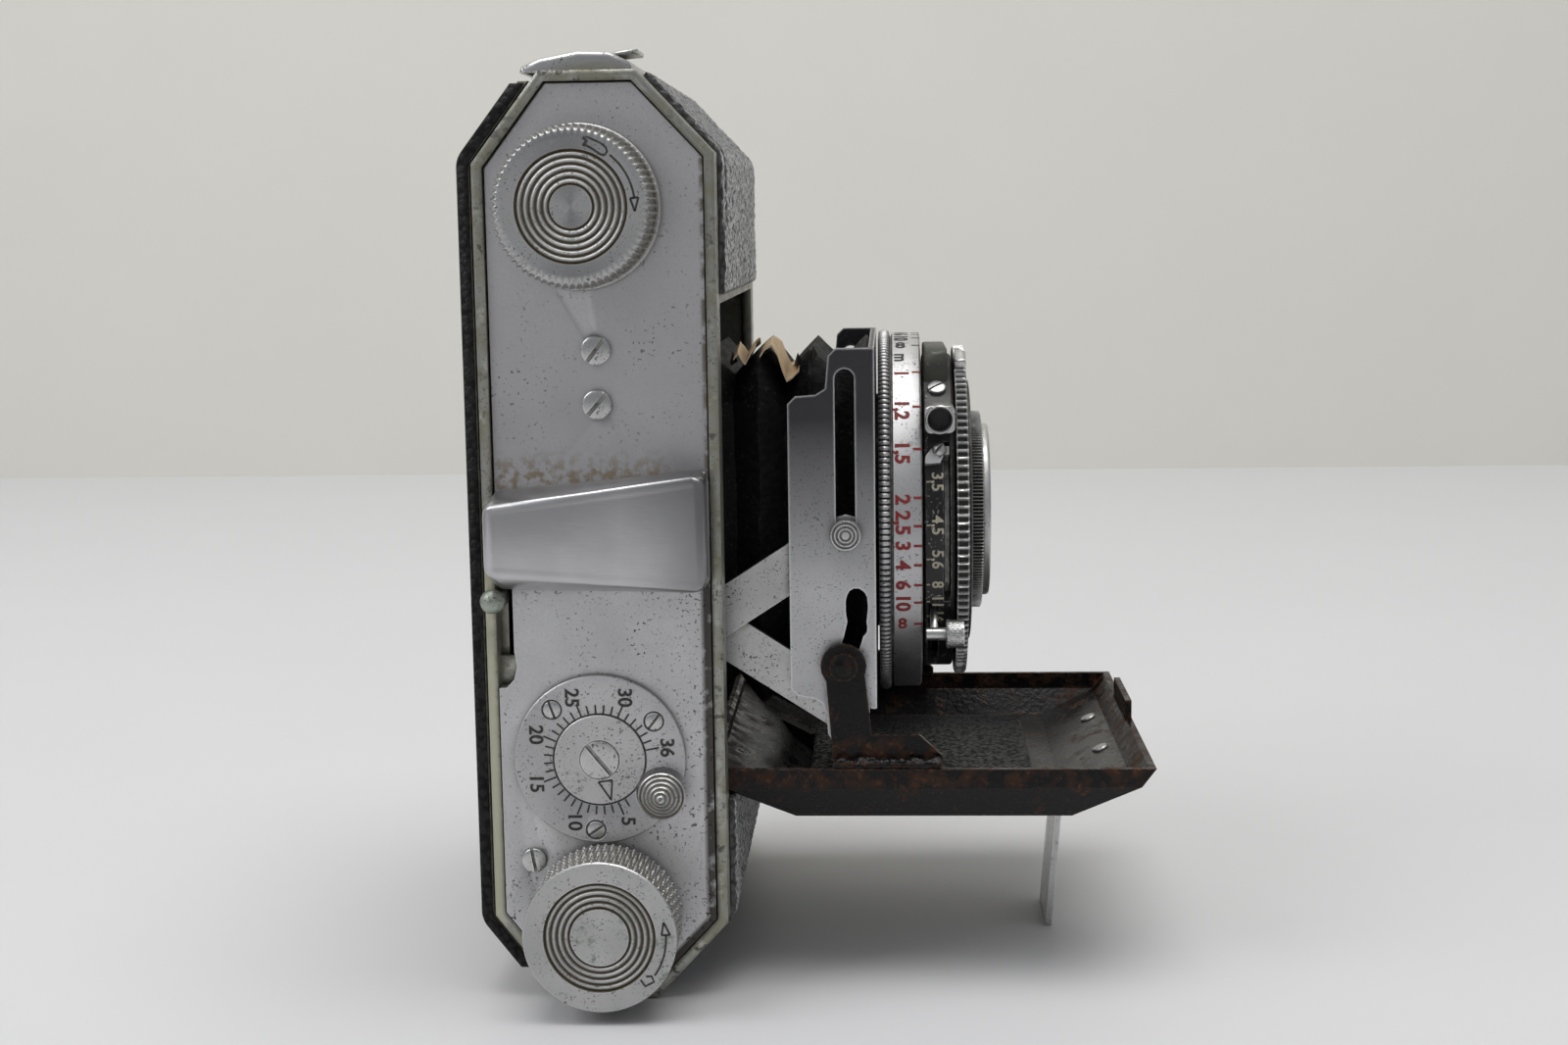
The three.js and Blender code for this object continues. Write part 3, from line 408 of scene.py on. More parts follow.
def weld_metal():
    """Glossy black lumps."""
    made = Finish("weld_metal", "rusty", (0.003, 0.003, 0.0035), 0.12, Specular_IOR_Level=0.25)
    made.tint(made.noise(1.2, 0.45, 0.65), (0.02, 0.01, 0.007), 0.7, 0.4, 0.6)
    return made.bump(made.noise(0.6), 0.3, 0.9).done()


def coated_glass(name, tone):
    made = Finish(name, "glass", tone, 0.04, Coat_Weight=1.0, Coat_Roughness=0.02, IOR=1.52,
                  Specular_IOR_Level=0.9)
    made.tint(made.noise(3, 0.45, 0.8), shaded(tone, 2.2, 0.01), 0.6, 0.16, 0.6)
    return made.tint(made.specks(0.18, 0.66, 0.7, 2, 0.4, 0.6), (0.4, 0.4, 0.4), 0.5, 0.7).done()


def ink(name, slot, colour, patchy=0.35):
    """Paint filled into an engraving, worn in places."""
    made = Finish(name, slot, colour, 0.6)
    made.tint(made.noise(0.5, 0.45, 0.65), shaded(colour, 0.5, 0.12), patchy, 0.75)
    return made.bump(made.noise(0.15), 0.01, 0.3).done()


LOOK = {
    "rim": shell_metal(),
    "top": top_metal(),
    "cover": cover_metal(),
    "finder": finder_metal(),
    "latch": aged("latch_nickel", "nickel", (0.66, 0.66, 0.65), 0.24, 0.5, 0.5, 0.15).done(),
    "back": aged("back_nickel", "nickel", (0.44, 0.43, 0.37), 0.36, 0.6, 0.8, 0.6).done(),
    "plate": plate_metal(),
    "satin": aged("plain_satin", "satin", (0.47, 0.465, 0.46), 0.38, 0.3, 0.5, 0.2).done(),
    "dial": aged("dial_satin", "satin", (0.56, 0.557, 0.56), 0.36, 0.05, 0.4).turned(0.4).done(),
    "disc": aged("disc_satin", "satin", (0.58, 0.575, 0.575), 0.34, 0.05, 0.35).turned(0.5).done(),
    "knob": knob_metal(),
    "ring": ribbed_metal("speed_ring_nickel", "knob", (0.6, 0.6, 0.59), 0.2, 23.7, 0.6, 46.95, 48.25),
    "cell": ribbed_metal("front_ring_nickel", "knob", (0.62, 0.62, 0.61), 0.2, 14.2, 0.4, 49.15, 50.65),
    "scale": ribbed_metal("scale_ring_chrome", "steel", (0.56, 0.56, 0.565), 0.29, 26, 0.42, 36.3, 37.75),
    "steel": aged("bright_steel", "steel", (0.6, 0.6, 0.59), 0.26, 0.25, 0.7).done(),
    "pitted": aged("pitted_steel", "steel", (0.6, 0.6, 0.59), 0.3, 1.1, 0.75, 0.3).done(),
    "patina": aged("patinated_ball", "steel", (0.42, 0.46, 0.4), 0.42, 1.2, 0.8, 0.1).done(),
    "brass": aged("dull_brass", "brass", (0.5, 0.34, 0.12), 0.36, 0.3, 0.6).done(),
    "black": painted("black_enamel", "black"),
    "olive": painted("gear_block_enamel", "black", (0.045, 0.045, 0.036), 0.4, 0.5),
    "edge_black": painted("front_disc_enamel", "knob", (0.01, 0.01, 0.01), 0.3, 0.35),
    "rusty": rusty(),
    # The same black leather twice: a lit copy with a lighter colour and strong sheen for the panels, and a
    # darker copy with little sheen, painted shade, for the turned edges and the bed.
    "leather": leather("pebbled_leather", (0.02, 0.0202, 0.021), 1.0),
    "shaded_leather": leather("shaded_leather", (0.006, 0.006, 0.0065), 0.1),
    "bellows": bellows_leather(),
    "lining": lining_cloth(),
    "weld": weld_metal(),
    "glass": coated_glass("lens_glass", (0.02, 0.026, 0.036)),
    "window": coated_glass("window_glass", (0.012, 0.014, 0.018)),
    "mark": ink("engraved_black", "satin", (0.02, 0.019, 0.017)),
    "lens_mark": ink("ring_black", "steel", (0.02, 0.019, 0.017)),
    "red": ink("ring_red", "steel", (0.23, 0.008, 0.01), 0.25),
    "cream": ink("faded_cream", "black", (0.5, 0.46, 0.35), 0.6),
}

# ---- mesh code


def joined(*sources):
    whole = bmesh.new()
    for source in sources:
        carrier = bpy.data.meshes.new("carrier")
        source.to_mesh(carrier)
        source.free()
        whole.from_mesh(carrier)
        bpy.data.meshes.remove(carrier)
    return whole


def moved(bm, place):
    bm.transform(place)
    return bm


def stitch(bm, rows, closed=False):
    """Faces between rows of vertices."""
    for first, second in zip(rows, rows[1:]):
        for k in range(len(first) - 1 + closed):
            n = (k + 1) % len(first)
            bm.faces.new((first[k], first[n], second[n], second[k]))


def prism(points, low, high):
    """A solid between two heights, over an outline."""
    bm = bmesh.new()
    base = [bm.verts.new((a, b, low)) for a, b in points]
    cap = [bm.verts.new((a, b, high)) for a, b in points]
    bm.faces.new(base[::-1])
    bm.faces.new(cap)
    stitch(bm, [base, cap], True)
    bmesh.ops.recalc_face_normals(bm, faces=bm.faces)
    return bm


def lathe(profile, segments=120, radial=None):
    """A turned solid about Z from (radius, height) points; radial(angle, radius, height) may shape it."""
    bm = bmesh.new()
    rings = []
    for radius, height in profile:
        if radius < 1e-6:
            rings.append([bm.verts.new((0, 0, height))])
            continue
        ring = []
        for k in range(segments):
            angle = 2 * math.pi * k / segments
            r = radial(angle, radius, height) if radial else radius
            ring.append(bm.verts.new((r * math.cos(angle), r * math.sin(angle), height)))
        rings.append(ring)
    pairs = list(zip(rings, rings[1:]))
    if len(rings[0]) > 1 and len(rings[-1]) > 1:
        pairs.append((rings[-1], rings[0]))
    for first, second in pairs:
        for k in range(segments):
            n = (k + 1) % segments
            corners = [ring[j % len(ring)] for ring, j in ((first, k), (first, n), (second, n), (second, k))]
            unique = list(dict.fromkeys(corners))
            if len(unique) > 2:
                bm.faces.new(unique)
    bmesh.ops.recalc_face_normals(bm, faces=bm.faces)
    return bm


def column(radius, low, high, steps):
    return [(radius, low + (high - low) * i / steps) for i in range(steps + 1)]


def arc(centre, radius, start, end, steps):
    turn = [math.radians(start + (end - start) * i / steps) for i in range(steps + 1)]
    return [(centre[0] + radius * math.cos(t), centre[1] + radius * math.sin(t)) for t in turn]


def disc(centre, radius, steps=48):
    return arc(centre, radius, 0, 360, steps)[:-1]


def sector(inner, outer, start, end, steps=24):
    return arc((0, 0), outer, start, end, steps) + arc((0, 0), inner, end, start, steps)


def ribbon(points, width):
    """The outline of a line of points drawn with a width."""
    sides = []
    for i, (x, y) in enumerate(points):
        before, after = points[max(i - 1, 0)], points[min(i + 1, len(points) - 1)]
        along = Vector((after[0] - before[0], after[1] - before[1])).normalized()
        sides.append(((x - along.y * width / 2, y + along.x * width / 2),
                      (x + along.y * width / 2, y - along.x * width / 2)))
    return [side[0] for side in sides] + [side[1] for side in reversed(sides)]


def block(x, y, z):
    return prism([(x[0], y[0]), (x[1], y[0]), (x[1], y[1]), (x[0], y[1])], *z)


def along_y(points, low, high):
    """A prism along Y over an outline in X and Z."""
    return moved(prism(points, -high, -low), NEAR)


def hull(points):
    bm = bmesh.new()
    verts = [bm.verts.new(point) for point in points]
    bmesh.ops.convex_hull(bm, input=verts)
    bmesh.ops.dissolve_limit(bm, angle_limit=math.radians(0.5), verts=bm.verts, edges=bm.edges)
    return bm


def linked(name, data):
    obj = bpy.data.objects.new(name, data)
    bpy.context.scene.collection.objects.link(obj)
    return obj


def temporary(bm):
    mesh = bpy.data.meshes.new("temporary")
    bm.to_mesh(mesh)
    bm.free()
    return linked("temporary", mesh)


def combined(bm, *tools, operation="DIFFERENCE"):
    """bm with closed tools cut out of it, joined to it, or kept in common."""
    obj = temporary(bm)
    others = [temporary(tool) for tool in tools]
    for other in others:
        boolean = obj.modifiers.new("tool", "BOOLEAN")
        boolean.operation = operation
        boolean.solver = "EXACT"
        boolean.object = other
    result = baked(obj)
    for other in others:
        bpy.data.objects.remove(other)
    return result


def baked(obj):
    """The mesh of an object with its modifiers applied, in place of the object."""
    bpy.context.view_layer.update()
    evaluated = obj.evaluated_get(bpy.context.evaluated_depsgraph_get())
    result = bmesh.new()
    result.from_mesh(evaluated.to_mesh())
    evaluated.to_mesh_clear()
    bpy.data.objects.remove(obj)
    return result


def softened(bm, width, segments=3, angle=30):
    """bm with its edges rounded by a bevel, baked."""
    obj = temporary(bm)
    add_bevel(obj, width, segments, angle)
    return baked(obj)


def add_bevel(obj, width, segments=2, angle=38):
    bevel = obj.modifiers.new("Rounded edges", "BEVEL")
    bevel.width = width
    bevel.segments = segments
    bevel.limit_method = "ANGLE"
    bevel.angle_limit = math.radians(angle)
    bevel.harden_normals = True
    bevel.miter_outer = "MITER_ARC"


def figures(text, size, depth=0.1, bold=0.02):
    """A line of generic figures as a solid centred on the origin."""
    curve = bpy.data.curves.new("figures", "FONT")
    curve.offset = bold * size
    curve.body = text
    curve.size = size
    curve.align_x = "CENTER"
    curve.align_y = "CENTER"
    curve.extrude = depth / 2
    curve.resolution_u = 4
    result = baked(linked("figures", curve))
    bmesh.ops.remove_doubles(result, verts=result.verts, dist=1e-5)
    return result


def cad_mesh(node, flat=0.6):
    """A CAD node's mesh in millimetres, with its flat faces whole again."""
    bm = bmesh.new()
    bm.from_mesh(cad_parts[node].data)
    bm.transform(Matrix.Scale(1 / MM, 4))
    bmesh.ops.remove_doubles(bm, verts=bm.verts, dist=1e-4)
    bmesh.ops.dissolve_limit(bm, angle_limit=math.radians(flat), verts=bm.verts, edges=bm.edges)
    return bm


def piece(name, bm, look, body, nodes=(), place=ROW, bevel=0.0, segments=2, angle=34):
    mesh = bpy.data.meshes.new(name)
    bmesh.ops.recalc_face_normals(bm, faces=bm.faces)
    bm.to_mesh(mesh)
    bm.free()
    mesh.transform(Matrix.Scale(MM, 4))
    mesh.shade_smooth()
    mesh.set_sharp_from_angle(angle=math.radians(angle))
    mesh.materials.clear()
    mesh.materials.append(LOOK[look])
    obj = linked(name, mesh)
    world = place.copy()
    world.translation *= MM
    obj.matrix_world = world
    if bevel:
        add_bevel(obj, bevel * MM, segments)
    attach(obj, body)
    if nodes:
        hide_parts(*nodes)
    return obj


def lathed(name, profile, look, body, nodes=(), place=ROW, segments=120, radial=None, angle=34):
    """A piece turned from a profile."""
    return piece(name, lathe(profile, segments, radial), look, body, nodes, place, angle=angle)


# ---- plates and castings from the CAD

REFINED = {
    # node: body, look, edge radius
    "body_shell": (BODY, "rim", 0.3),
    "top_plate": (BODY, "top", 0.15),
    "counter_cover": (BODY, "cover", 0.35),
    "bottom_plate": (BODY, "satin", 0.15),
    "tripod_bush": (BODY, "steel", 0.12),
    "film_gate": (BODY, "black", 0.1),
    "back_cover": ("back", "back", 0.25),
    "pressure_plate": ("back", "black", 0.1),
    "pressure_spring": ("back", "steel", 0.05),
    "bed_foot": ("foot", "pitted", 0.15),
    "standard_frame": ("standard", "plate", 0.22),
    "bed_release": ("bed_release", "steel", 0.15),
    "sprocket": ("sprocket", "steel", 0.06),
    "take_up_spool": ("wind_knob", "black", 0.15),
    "rewind_fork": ("rewind_knob", "steel", 0.1),
}
for side in ("near", "far"):
    REFINED[f"bed_bracket_{side}"] = ("bed", "rusty", 0.15)
    REFINED[f"strut_a_{side}"] = (f"strut_a_{side}", "pitted", 0.12)
    REFINED[f"strut_b_{side}"] = (f"strut_b_{side}", "pitted", 0.12)
    REFINED[f"strut_slider_{side}"] = (f"slider_{side}", "steel", 0.05)

for node, (body, look, radius) in REFINED.items():
    piece(f"{node}_finished", cad_mesh(node), look, body, [node], bevel=radius)
piece("bed_shell_finished", cad_mesh("bed_shell", 3), "rusty", "bed", ["bed_shell"], bevel=0.4, angle=16)

# ---- leather


def grow(points, distance):
    """A convex outline moved outwards."""
    edges = []
    for (x, z), (nx, nz) in zip(points, points[1:] + points[:1]):
        along = Vector((nx - x, nz - z)).normalized()
        edges.append((along.y, -along.x, along.y * x - along.x * z + distance))
    grown = []
    for (ax, az, a), (bx, bz, b) in zip(edges[-1:] + edges[:-1], edges):
        area = ax * bz - az * bx
        grown.append(((a * bz - b * az) / area, (ax * b - bx * a) / area))
    return grown


def at_height(points, i, z):
    """The point of an outline's side at a height."""
    (ax, az), (bx, bz) = points[i], points[(i + 1) % len(points)]
    return ax + (bx - ax) * (z - az) / (bz - az), z


def rounded_corners(points, radius, steps=5):
    """A line with its inner corners replaced by arcs."""
    line = [points[0]]
    for before, corner, after in zip(points, points[1:], points[2:]):
        here = Vector(corner)
        back_way, way = ((Vector(other) - here).normalized() for other in (before, after))
        half = back_way.angle(way) / 2
        centre = here + (back_way + way).normalized() * radius / math.sin(half)
        start, end = (here + side * radius / math.tan(half) - centre for side in (back_way, way))
        for k in range(steps + 1):
            line.append(tuple(centre + start.lerp(end, k / steps).normalized() * radius))
    return line + [points[-1]]


def leather_panel(inner, outer, low, high, step, pebble=0.9, depth=0.28, seam=None):
    """A skin between two lines in X and Z, from one Y to another, with pebbles standing in its outer face."""
    outer, inner = rounded_corners(outer, 3.5), rounded_corners(inner, 2.8)
    line, under, along = [], [], []
    for i, (a, b) in enumerate(zip(outer, outer[1:])):
        count = max(1, round(math.dist(a, b) / step))
        for k in range(count + (i == len(outer) - 2)):
            line.append(Vector(a).lerp(Vector(b), k / count))
            under.append(Vector(inner[i]).lerp(Vector(inner[i + 1]), k / count))
            along.append((Vector(b) - Vector(a)).normalized())
    across = max(2, round((high - low) / step))
    bm = bmesh.new()
    rows = []
    for k, (point, base, way) in enumerate(zip(line, under, along)):
        turn = (way + along[max(k - 1, 0)]).normalized()
        out = Vector((turn.y, -turn.x))
        end = min((point - line[0]).length, (point - line[-1]).length)
        row = []
        for j in range(across + 1):
            y = low + (high - low) * j / across
            near = min(end, y - low, high - y)
            valley = noise.voronoi(Vector((point.x, y, point.y)) / pebble)[0][0]
            sink = depth * min(1.0, valley * 1.25) ** 1.5 + 0.3 * max(0.0, 1 - near / 0.5) ** 2
            if seam:
                sink += 0.4 * max(0.0, 1 - abs(y - seam(point)) / 0.35) + 0.2 * (y < seam(point))
            spot = point - out * sink
            row.append(bm.verts.new((spot.x, y, spot.y)))
        rows.append(row)
    sides = [[bm.verts.new((p.x, y, p.y)) for p in under] for y in (low, high)]
    for strip in (rows, sides, [sides[0], [row[0] for row in rows]], [sides[1], [row[-1] for row in rows]]):
        stitch(bm, strip)
    for k in (0, -1):
        bm.faces.new([sides[0][k]] + rows[k] + [sides[1][k]])
    return bm


OVERLAP_START = 101.5  # Z where the upper leather's overlap begins
OVERLAP_BEND = 108.0  # Z where it starts to curve towards the panel's side
OVERLAP_SIDE = -27.5
OFF_THE_PANEL = -60.0


def cut_line(point):
    """Y of the overlap's end: straight on the front, curving to the panel's side over the chamfer."""
    if point.y < OVERLAP_START:
        return OFF_THE_PANEL
    return OVERLAP_SIDE - 0.09 * max(0.0, point.y - OVERLAP_BEND) ** 2


outer, inner = grow(BODY_OUTLINE, 1.0), grow(BODY_OUTLINE, 0.1)
FRONT_LEATHER_SIDES = (-32, 31.9)
FRONT_LEATHERS = {
    "upper": ([(16.1, 92.7), inner[3], (6.85, 120.55)], [(17, 92.7), outer[3], (7.45, 121.2)], cut_line),
    "lower": ([(6.85, 0.45), inner[2], (16.1, 25.8)], [(7.95, 0.3), outer[2], (17, 25.8)], None),
}
for name, (base, face, seam) in FRONT_LEATHERS.items():
    panel = leather_panel(base, face, *FRONT_LEATHER_SIDES, 0.3, seam=seam)
    piece(f"front_leather_{name}_panel", panel, "leather", BODY, [f"front_leather_{name}"], angle=60)


def round_back(distance, top, bottom):
    """The line round the back at a distance outside the body."""
    outline = grow(BODY_OUTLINE, distance)
    return [at_height(outline, 5, top), outline[6], outline[7], at_height(outline, 7, bottom)]


BACK_ENDS = (118, 7.2)
BACK_SIDE = 36.3
back = leather_panel(round_back(1.4, *BACK_ENDS), round_back(2.1, *BACK_ENDS), -BACK_SIDE, BACK_SIDE, 0.42)
piece("back_leather_panel", back, "leather", "back", ["back_leather"], angle=60)
# The leather turned over the back's edges is a little longer than the panel.
TURNED_ENDS = (119.5, 4.2)
rim_outline = rounded_corners(round_back(1.9, *TURNED_ENDS), 3.5)
rim_outline += rounded_corners(round_back(0.45, *TURNED_ENDS), 2.8)[::-1]
edges = [along_y(rim_outline, low, high) for low, high in ((-36.8, -36.35), (36.35, 36.8))]
edges = joined(*[softened(edge, 0.12, 2, 50) for edge in edges])
piece("back_leather_turned_edge", edges, "shaded_leather", "back", angle=60)
bed_leather = leather_panel([(58, 23.42), (26, 23.42)], [(58, 23.8), (26, 23.8)], -25.5, 25.5, 0.4, 0.8, 0.2)
piece("bed_leather_panel", bed_leather, "shaded_leather", "bed", angle=60)

# ---- latch

latch_line = [(5, 121.9), (4.7, 122.5), (2.1, 123.8), (-2, 124), (-7.1, 123.1), (-9.4, 122.1), (-9.6, 121.7)]
hollow_line = [(4.3, 121.9), (3.9, 122.2), (1.8, 123), (-2, 123.2), (-6.9, 122.3), (-9, 121.5)]
latch = softened(along_y([(-9.6, 117), (5, 117)] + latch_line, -29.2, 29.2), 0.9, 4, 50)
hollow = along_y([(-9, 110), (4.3, 110)] + hollow_line, -28.3, 28.3)
latch = combined(latch, block((-20, 20), (-40, 40), (110, 121.3)), hollow)
barrel = lathe([(0, -6), (0.8, -6), (0.9, -5.9), (0.9, 5.9), (0.8, 6), (0, 6)], 40)
barrel = moved(barrel, at(NEAR, *LATCH_HINGE))
tongue = along_y([(-9.7, 119.9), (-8.9, 119.9), (-8.9, 121.9), (-9.6, 121.9)], -6, 6)
lip = softened(along_y([(1.6, 123.4), (5.4, 123.7), (5.5, 124.3), (1.6, 123.85)], -26.5, -18.5), 0.15, 2)
latch = joined(latch, barrel, tongue, lip)
piece("back_latch_pressing", latch, "latch", "back_latch", ["back_latch"], angle=50)

# ---- finder


def finder_points(inset, low, high, stretch=0.0):
    """The finder's eight corners: at each end the side low down, then the narrower one high up."""
    rear, front = -13.7 - stretch, 14.7 + stretch
    sections = [(rear, 55.3, 68.1, low), (rear, 58, 66.9, high),
                (front, 55.4, 70.7, low), (front, 55.8, 70.6, high)]
    return [(x, z, y) for x, bottom, top, y in sections for z in (bottom + inset, top - inset)]


housing = softened(hull(finder_points(0, 0.4, 7.3)), 1.5, 6)
skirt = prism([(-13, 62.2), (14.2, 62.2), (14.2, 70.4), (-13, 67.8)], -0.5, 0.9)
housing = combined(housing, skirt, operation="UNION")
housing = combined(housing, softened(hull(finder_points(1.3, 1.7, 6.1, 1)), 0.35, 2))
piece("finder_block", housing, "finder", BODY, ["finder_housing"], TOP, angle=28)
glass = cad_mesh("finder_front_glass")
piece("finder_window", glass, "window", BODY, ["finder_front_glass"], bevel=0.12)
piece("finder_rear_mask", cad_mesh("finder_eyepiece"), "black", BODY, ["finder_eyepiece"], bevel=0.1)

# ---- screws


def screw(name, radius, low, high, turn, place, body=BODY, nodes=(), slot=0.45):
    """A domed cheese-head screw with a slot."""
    crown = 0.35 * (high - low)
    neck = [(0, low - 0.8), (radius * 0.5, low - 0.8), (radius * 0.5, low), (radius * 0.94, low)]
    dome = [(radius * x, high - crown + crown * y) for x, y in arc((0, 0), 1, 0, 80, 8)]
    head = lathe(neck + dome + [(0, high)], 64)
    blade = block((-radius - 1, radius + 1), (-slot / 2, slot / 2), (high - 0.45, high + 1))
    return piece(name, combined(head, moved(blade, turned_by(turn))), "steel", body, nodes, place, bevel=0.04)


for name, (a, b, turn) in BLANK_SCREWS.items():
    nodes = [f"blank_screw_{name}"]
    screw(f"blank_screw_head_{name}", 1.9, -0.78, 0.15, turn, at(TOP, a, b), nodes=nodes, slot=0.55)
screw("cover_screw_head", 1.6, 0.22, 0.9, -80, at(TOP, *COVER_SCREW), nodes=["cover_screw"])
for name, (a, b, turn) in RING_SCREWS.items():
    nodes = [f"counter_screw_{name}"]
    screw(f"ring_screw_head_{name}", 1.2, 0.3, 1.08, turn, at(TOP, a, b), nodes=nodes, slot=0.35)

# ---- knobs


def triangle(phase):
    """A triangular wave of period 1 between 0 and 1."""
    return abs(2 * (phase - math.floor(phase + 0.5)))


def knurl(count, depth, low, high, inner, cut):
    """A radial for lathe(): from an inner radius outwards, cut(turn, height) times the depth is taken off."""
    def radial(angle, radius, height):
        if radius < inner or not low <= height <= high:
            return radius
        return radius - depth * cut(count * angle / (2 * math.pi), height)
    return radial


def straight_knurl(count, depth, low, high, inner):
    return knurl(count, depth, low, high, inner, lambda turn, height: min(1.0, 1.7 * triangle(turn)))


def diamond_knurl(count, depth, low, high, outer):
    pitch = 2 * math.pi * outer / count

    def cut(turn, height):
        rise = (height - low) / pitch
        return max(triangle(turn + rise), triangle(turn - rise))
    return knurl(count, depth, low, high, outer - 0.2, cut)


def grooves(outer, inner, count, face, depth):
    """Concentric rounded ridges on a face, from the outer groove to the inner one."""
    step = (outer - inner) / count
    profile = [(outer + 0.14, face), (outer, face - depth)]
    for i in range(count):
        start = outer - i * step
        for part, lift in ((0.18, 0.55), (0.36, 0.9), (0.52, 1.0), (0.68, 0.9), (0.86, 0.5)):
            profile.append((start - part * step, face - depth * (1.15 - lift)))
        profile.append((start - step, face - depth))
    profile.append((inner - 0.14, face - 0.25 * depth))
    return profile


rewind_profile = (
    [(0, -3), (1.6, -3), (1.6, -0.4), (10.35, -0.4), (10.5, -0.25), (10.5, 1.1), (10.35, 1.3), (10.2, 1.35)]
    + column(10.15, 1.5, 7.3, 3)
    + [(10.0, 7.7), (9.75, 7.95), (9.2, 8.04), (8.4, 8.02), (7.6, 8.0)]
    + grooves(6.9, 2.75, 5, 8.0, 0.5)
    + [(1.6, 7.86), (0, 7.84)]
)
lathed("rewind_knob_turned", rewind_profile, "knob", "rewind_knob", ["rewind_knob"], ON_REWIND, 560,
       straight_knurl(70, 0.42, 1.4, 7.98, 9.7), 40)
shaft = [(0, -8), (1.3, -8), (1.5, -7.8), (1.5, -2.9), (0, -2.9)]
lathed("rewind_shaft", shaft, "steel", "rewind_knob", (), ON_REWIND, 48)
sleeve = [(1.8, -6), (2.7, -6), (2.7, -0.85), (2.6, -0.7), (1.8, -0.7)]
lathed("rewind_sleeve_turned", sleeve, "brass", "rewind_sleeve", ["rewind_sleeve"], ON_REWIND, 64)

wind_profile = (
    [(0, -3.5), (2.4, -3.5), (2.4, 0.5), (7.9, 0.5), (8, 0.6), (8, 1.35), (9.5, 1.4), (9.7, 1.5)]
    + column(10, 1.7, 9.3, 22)
    + [(9.75, 9.35), (9.9, 9.5), (9.95, 9.8), (9.8, 10.0), (7.8, 10.02)]
    + grooves(7.1, 3.9, 4, 10.0, 0.5)
    + [(2.0, 9.86), (0, 9.84)]
)
lathed("wind_knob_turned", wind_profile, "knob", "wind_knob", ["wind_knob"], ON_WIND, 640,
       diamond_knurl(64, 0.5, 1.7, 9.3, 10), 40)


def arrow(radius, start, end, width, head):
    """A curved line about the origin with a hollow arrowhead, as outlines."""
    reach = math.copysign(math.degrees(head / radius), end - start)
    half = 0.42 * head
    corners = [polar(radius + half, end), polar(radius, end + 1.3 * reach), polar(radius - half, end)]
    sides = zip(corners, corners[1:] + corners[:1])
    return [ribbon(arc((0, 0), radius, start, end, 20), width)] + [ribbon(side, width) for side in sides]


def marks(name, outlines, face, body, place):
    """Thin lines just above a face."""
    whole = joined(*[prism(outline, face - 0.05, face + 0.02) for outline in outlines])
    return piece(name, whole, "mark", body, place=place)


LOOP = [(2.1, 8.5), (2.9, 8.1), (3.9, 7.65), (4.55, 7.1), (4.7, 6.6), (4.4, 6.2), (3.9, 6.25), (2.9, 6.95),
        (2.1, 7.4)]
FILM_END = [(1.75, 8.35), (2.2, 7.95), (1.8, 7.3)]
rewind_marks = arrow(7.95, 51, 7, 0.26, 1.25) + [ribbon(LOOP, 0.26), ribbon(FILM_END, 0.4)]
marks("rewind_knob_arrow", rewind_marks, 8.01, "rewind_knob", ON_REWIND)
TAIL = [(5.2, -5.5), (5.75, -6.35), (6.9, -5.75), (6.6, -5.0), (5.9, -5.05)]
wind_marks = arrow(8.55, -35, 3, 0.24, 1.3) + [ribbon(TAIL, 0.28)]
marks("wind_knob_arrow", wind_marks, 10.02, "wind_knob", ON_WIND)

# ---- frame counter


def bearing(degrees, radius):
    """A point at a compass bearing, clockwise from the top of the dial."""
    return polar(radius, 90 - degrees)


DIAL_FACE = 1.0
BUTTON_HOLE = (RELEASE[0] - COUNTER[0], RELEASE[1] - COUNTER[1])
dial = lathe([(6.15, 0.3), (11.0, 0.3), (11.2, 0.45), (11.2, 0.85), (11.05, DIAL_FACE), (6.3, DIAL_FACE),
              (6.15, 0.9)], 180)
cuts = [prism(disc(BUTTON_HOLE, 3.5), 0, 2)]
for a, b, _ in RING_SCREWS.values():
    cone = lathe([(0, 0.1), (1.3, 0.1), (1.3, 0.85), (1.42, 1.02), (1.42, 1.5), (0, 1.5)], 48)
    cuts.append(moved(cone, at(ROW, a - COUNTER[0], b - COUNTER[1])))
dial = combined(dial, *cuts)
piece("counter_dial", dial, "dial", BODY, ["counter_scale"], ON_COUNTER, bevel=0.06)

FRAMES = 36
FRAME_TURN = 9.05  # degrees of the dial for each frame
FIRST_TURN = 112.5
DIAL_FIGURES = {"5": 157, "10": 203, "15": 249.5, "20": 292, "25": 337, "30": 22.6, "36": 79.7}
dial_marks = []
for text, turn in DIAL_FIGURES.items():
    # The figures' tops are towards +X.
    dial_marks.append(moved(figures(text, 2.55), at(ROW, *bearing(turn, 8.95), DIAL_FACE) @ turned_by(-90)))
for k in range(FRAMES + 1):
    turn = FIRST_TURN + FRAME_TURN * k
    long = k % 5 == 0 and k < 35 or k == FRAMES
    ends = [bearing(turn, 6.2), bearing(turn, 7.95 if long else 7.3)]
    if math.dist(ends[1], BUTTON_HOLE) > 3.7:
        dial_marks.append(prism(ribbon(ends, 0.22), 0.95, 1.03))
piece("counter_figures", joined(*dial_marks), "mark", BODY, place=ON_COUNTER)

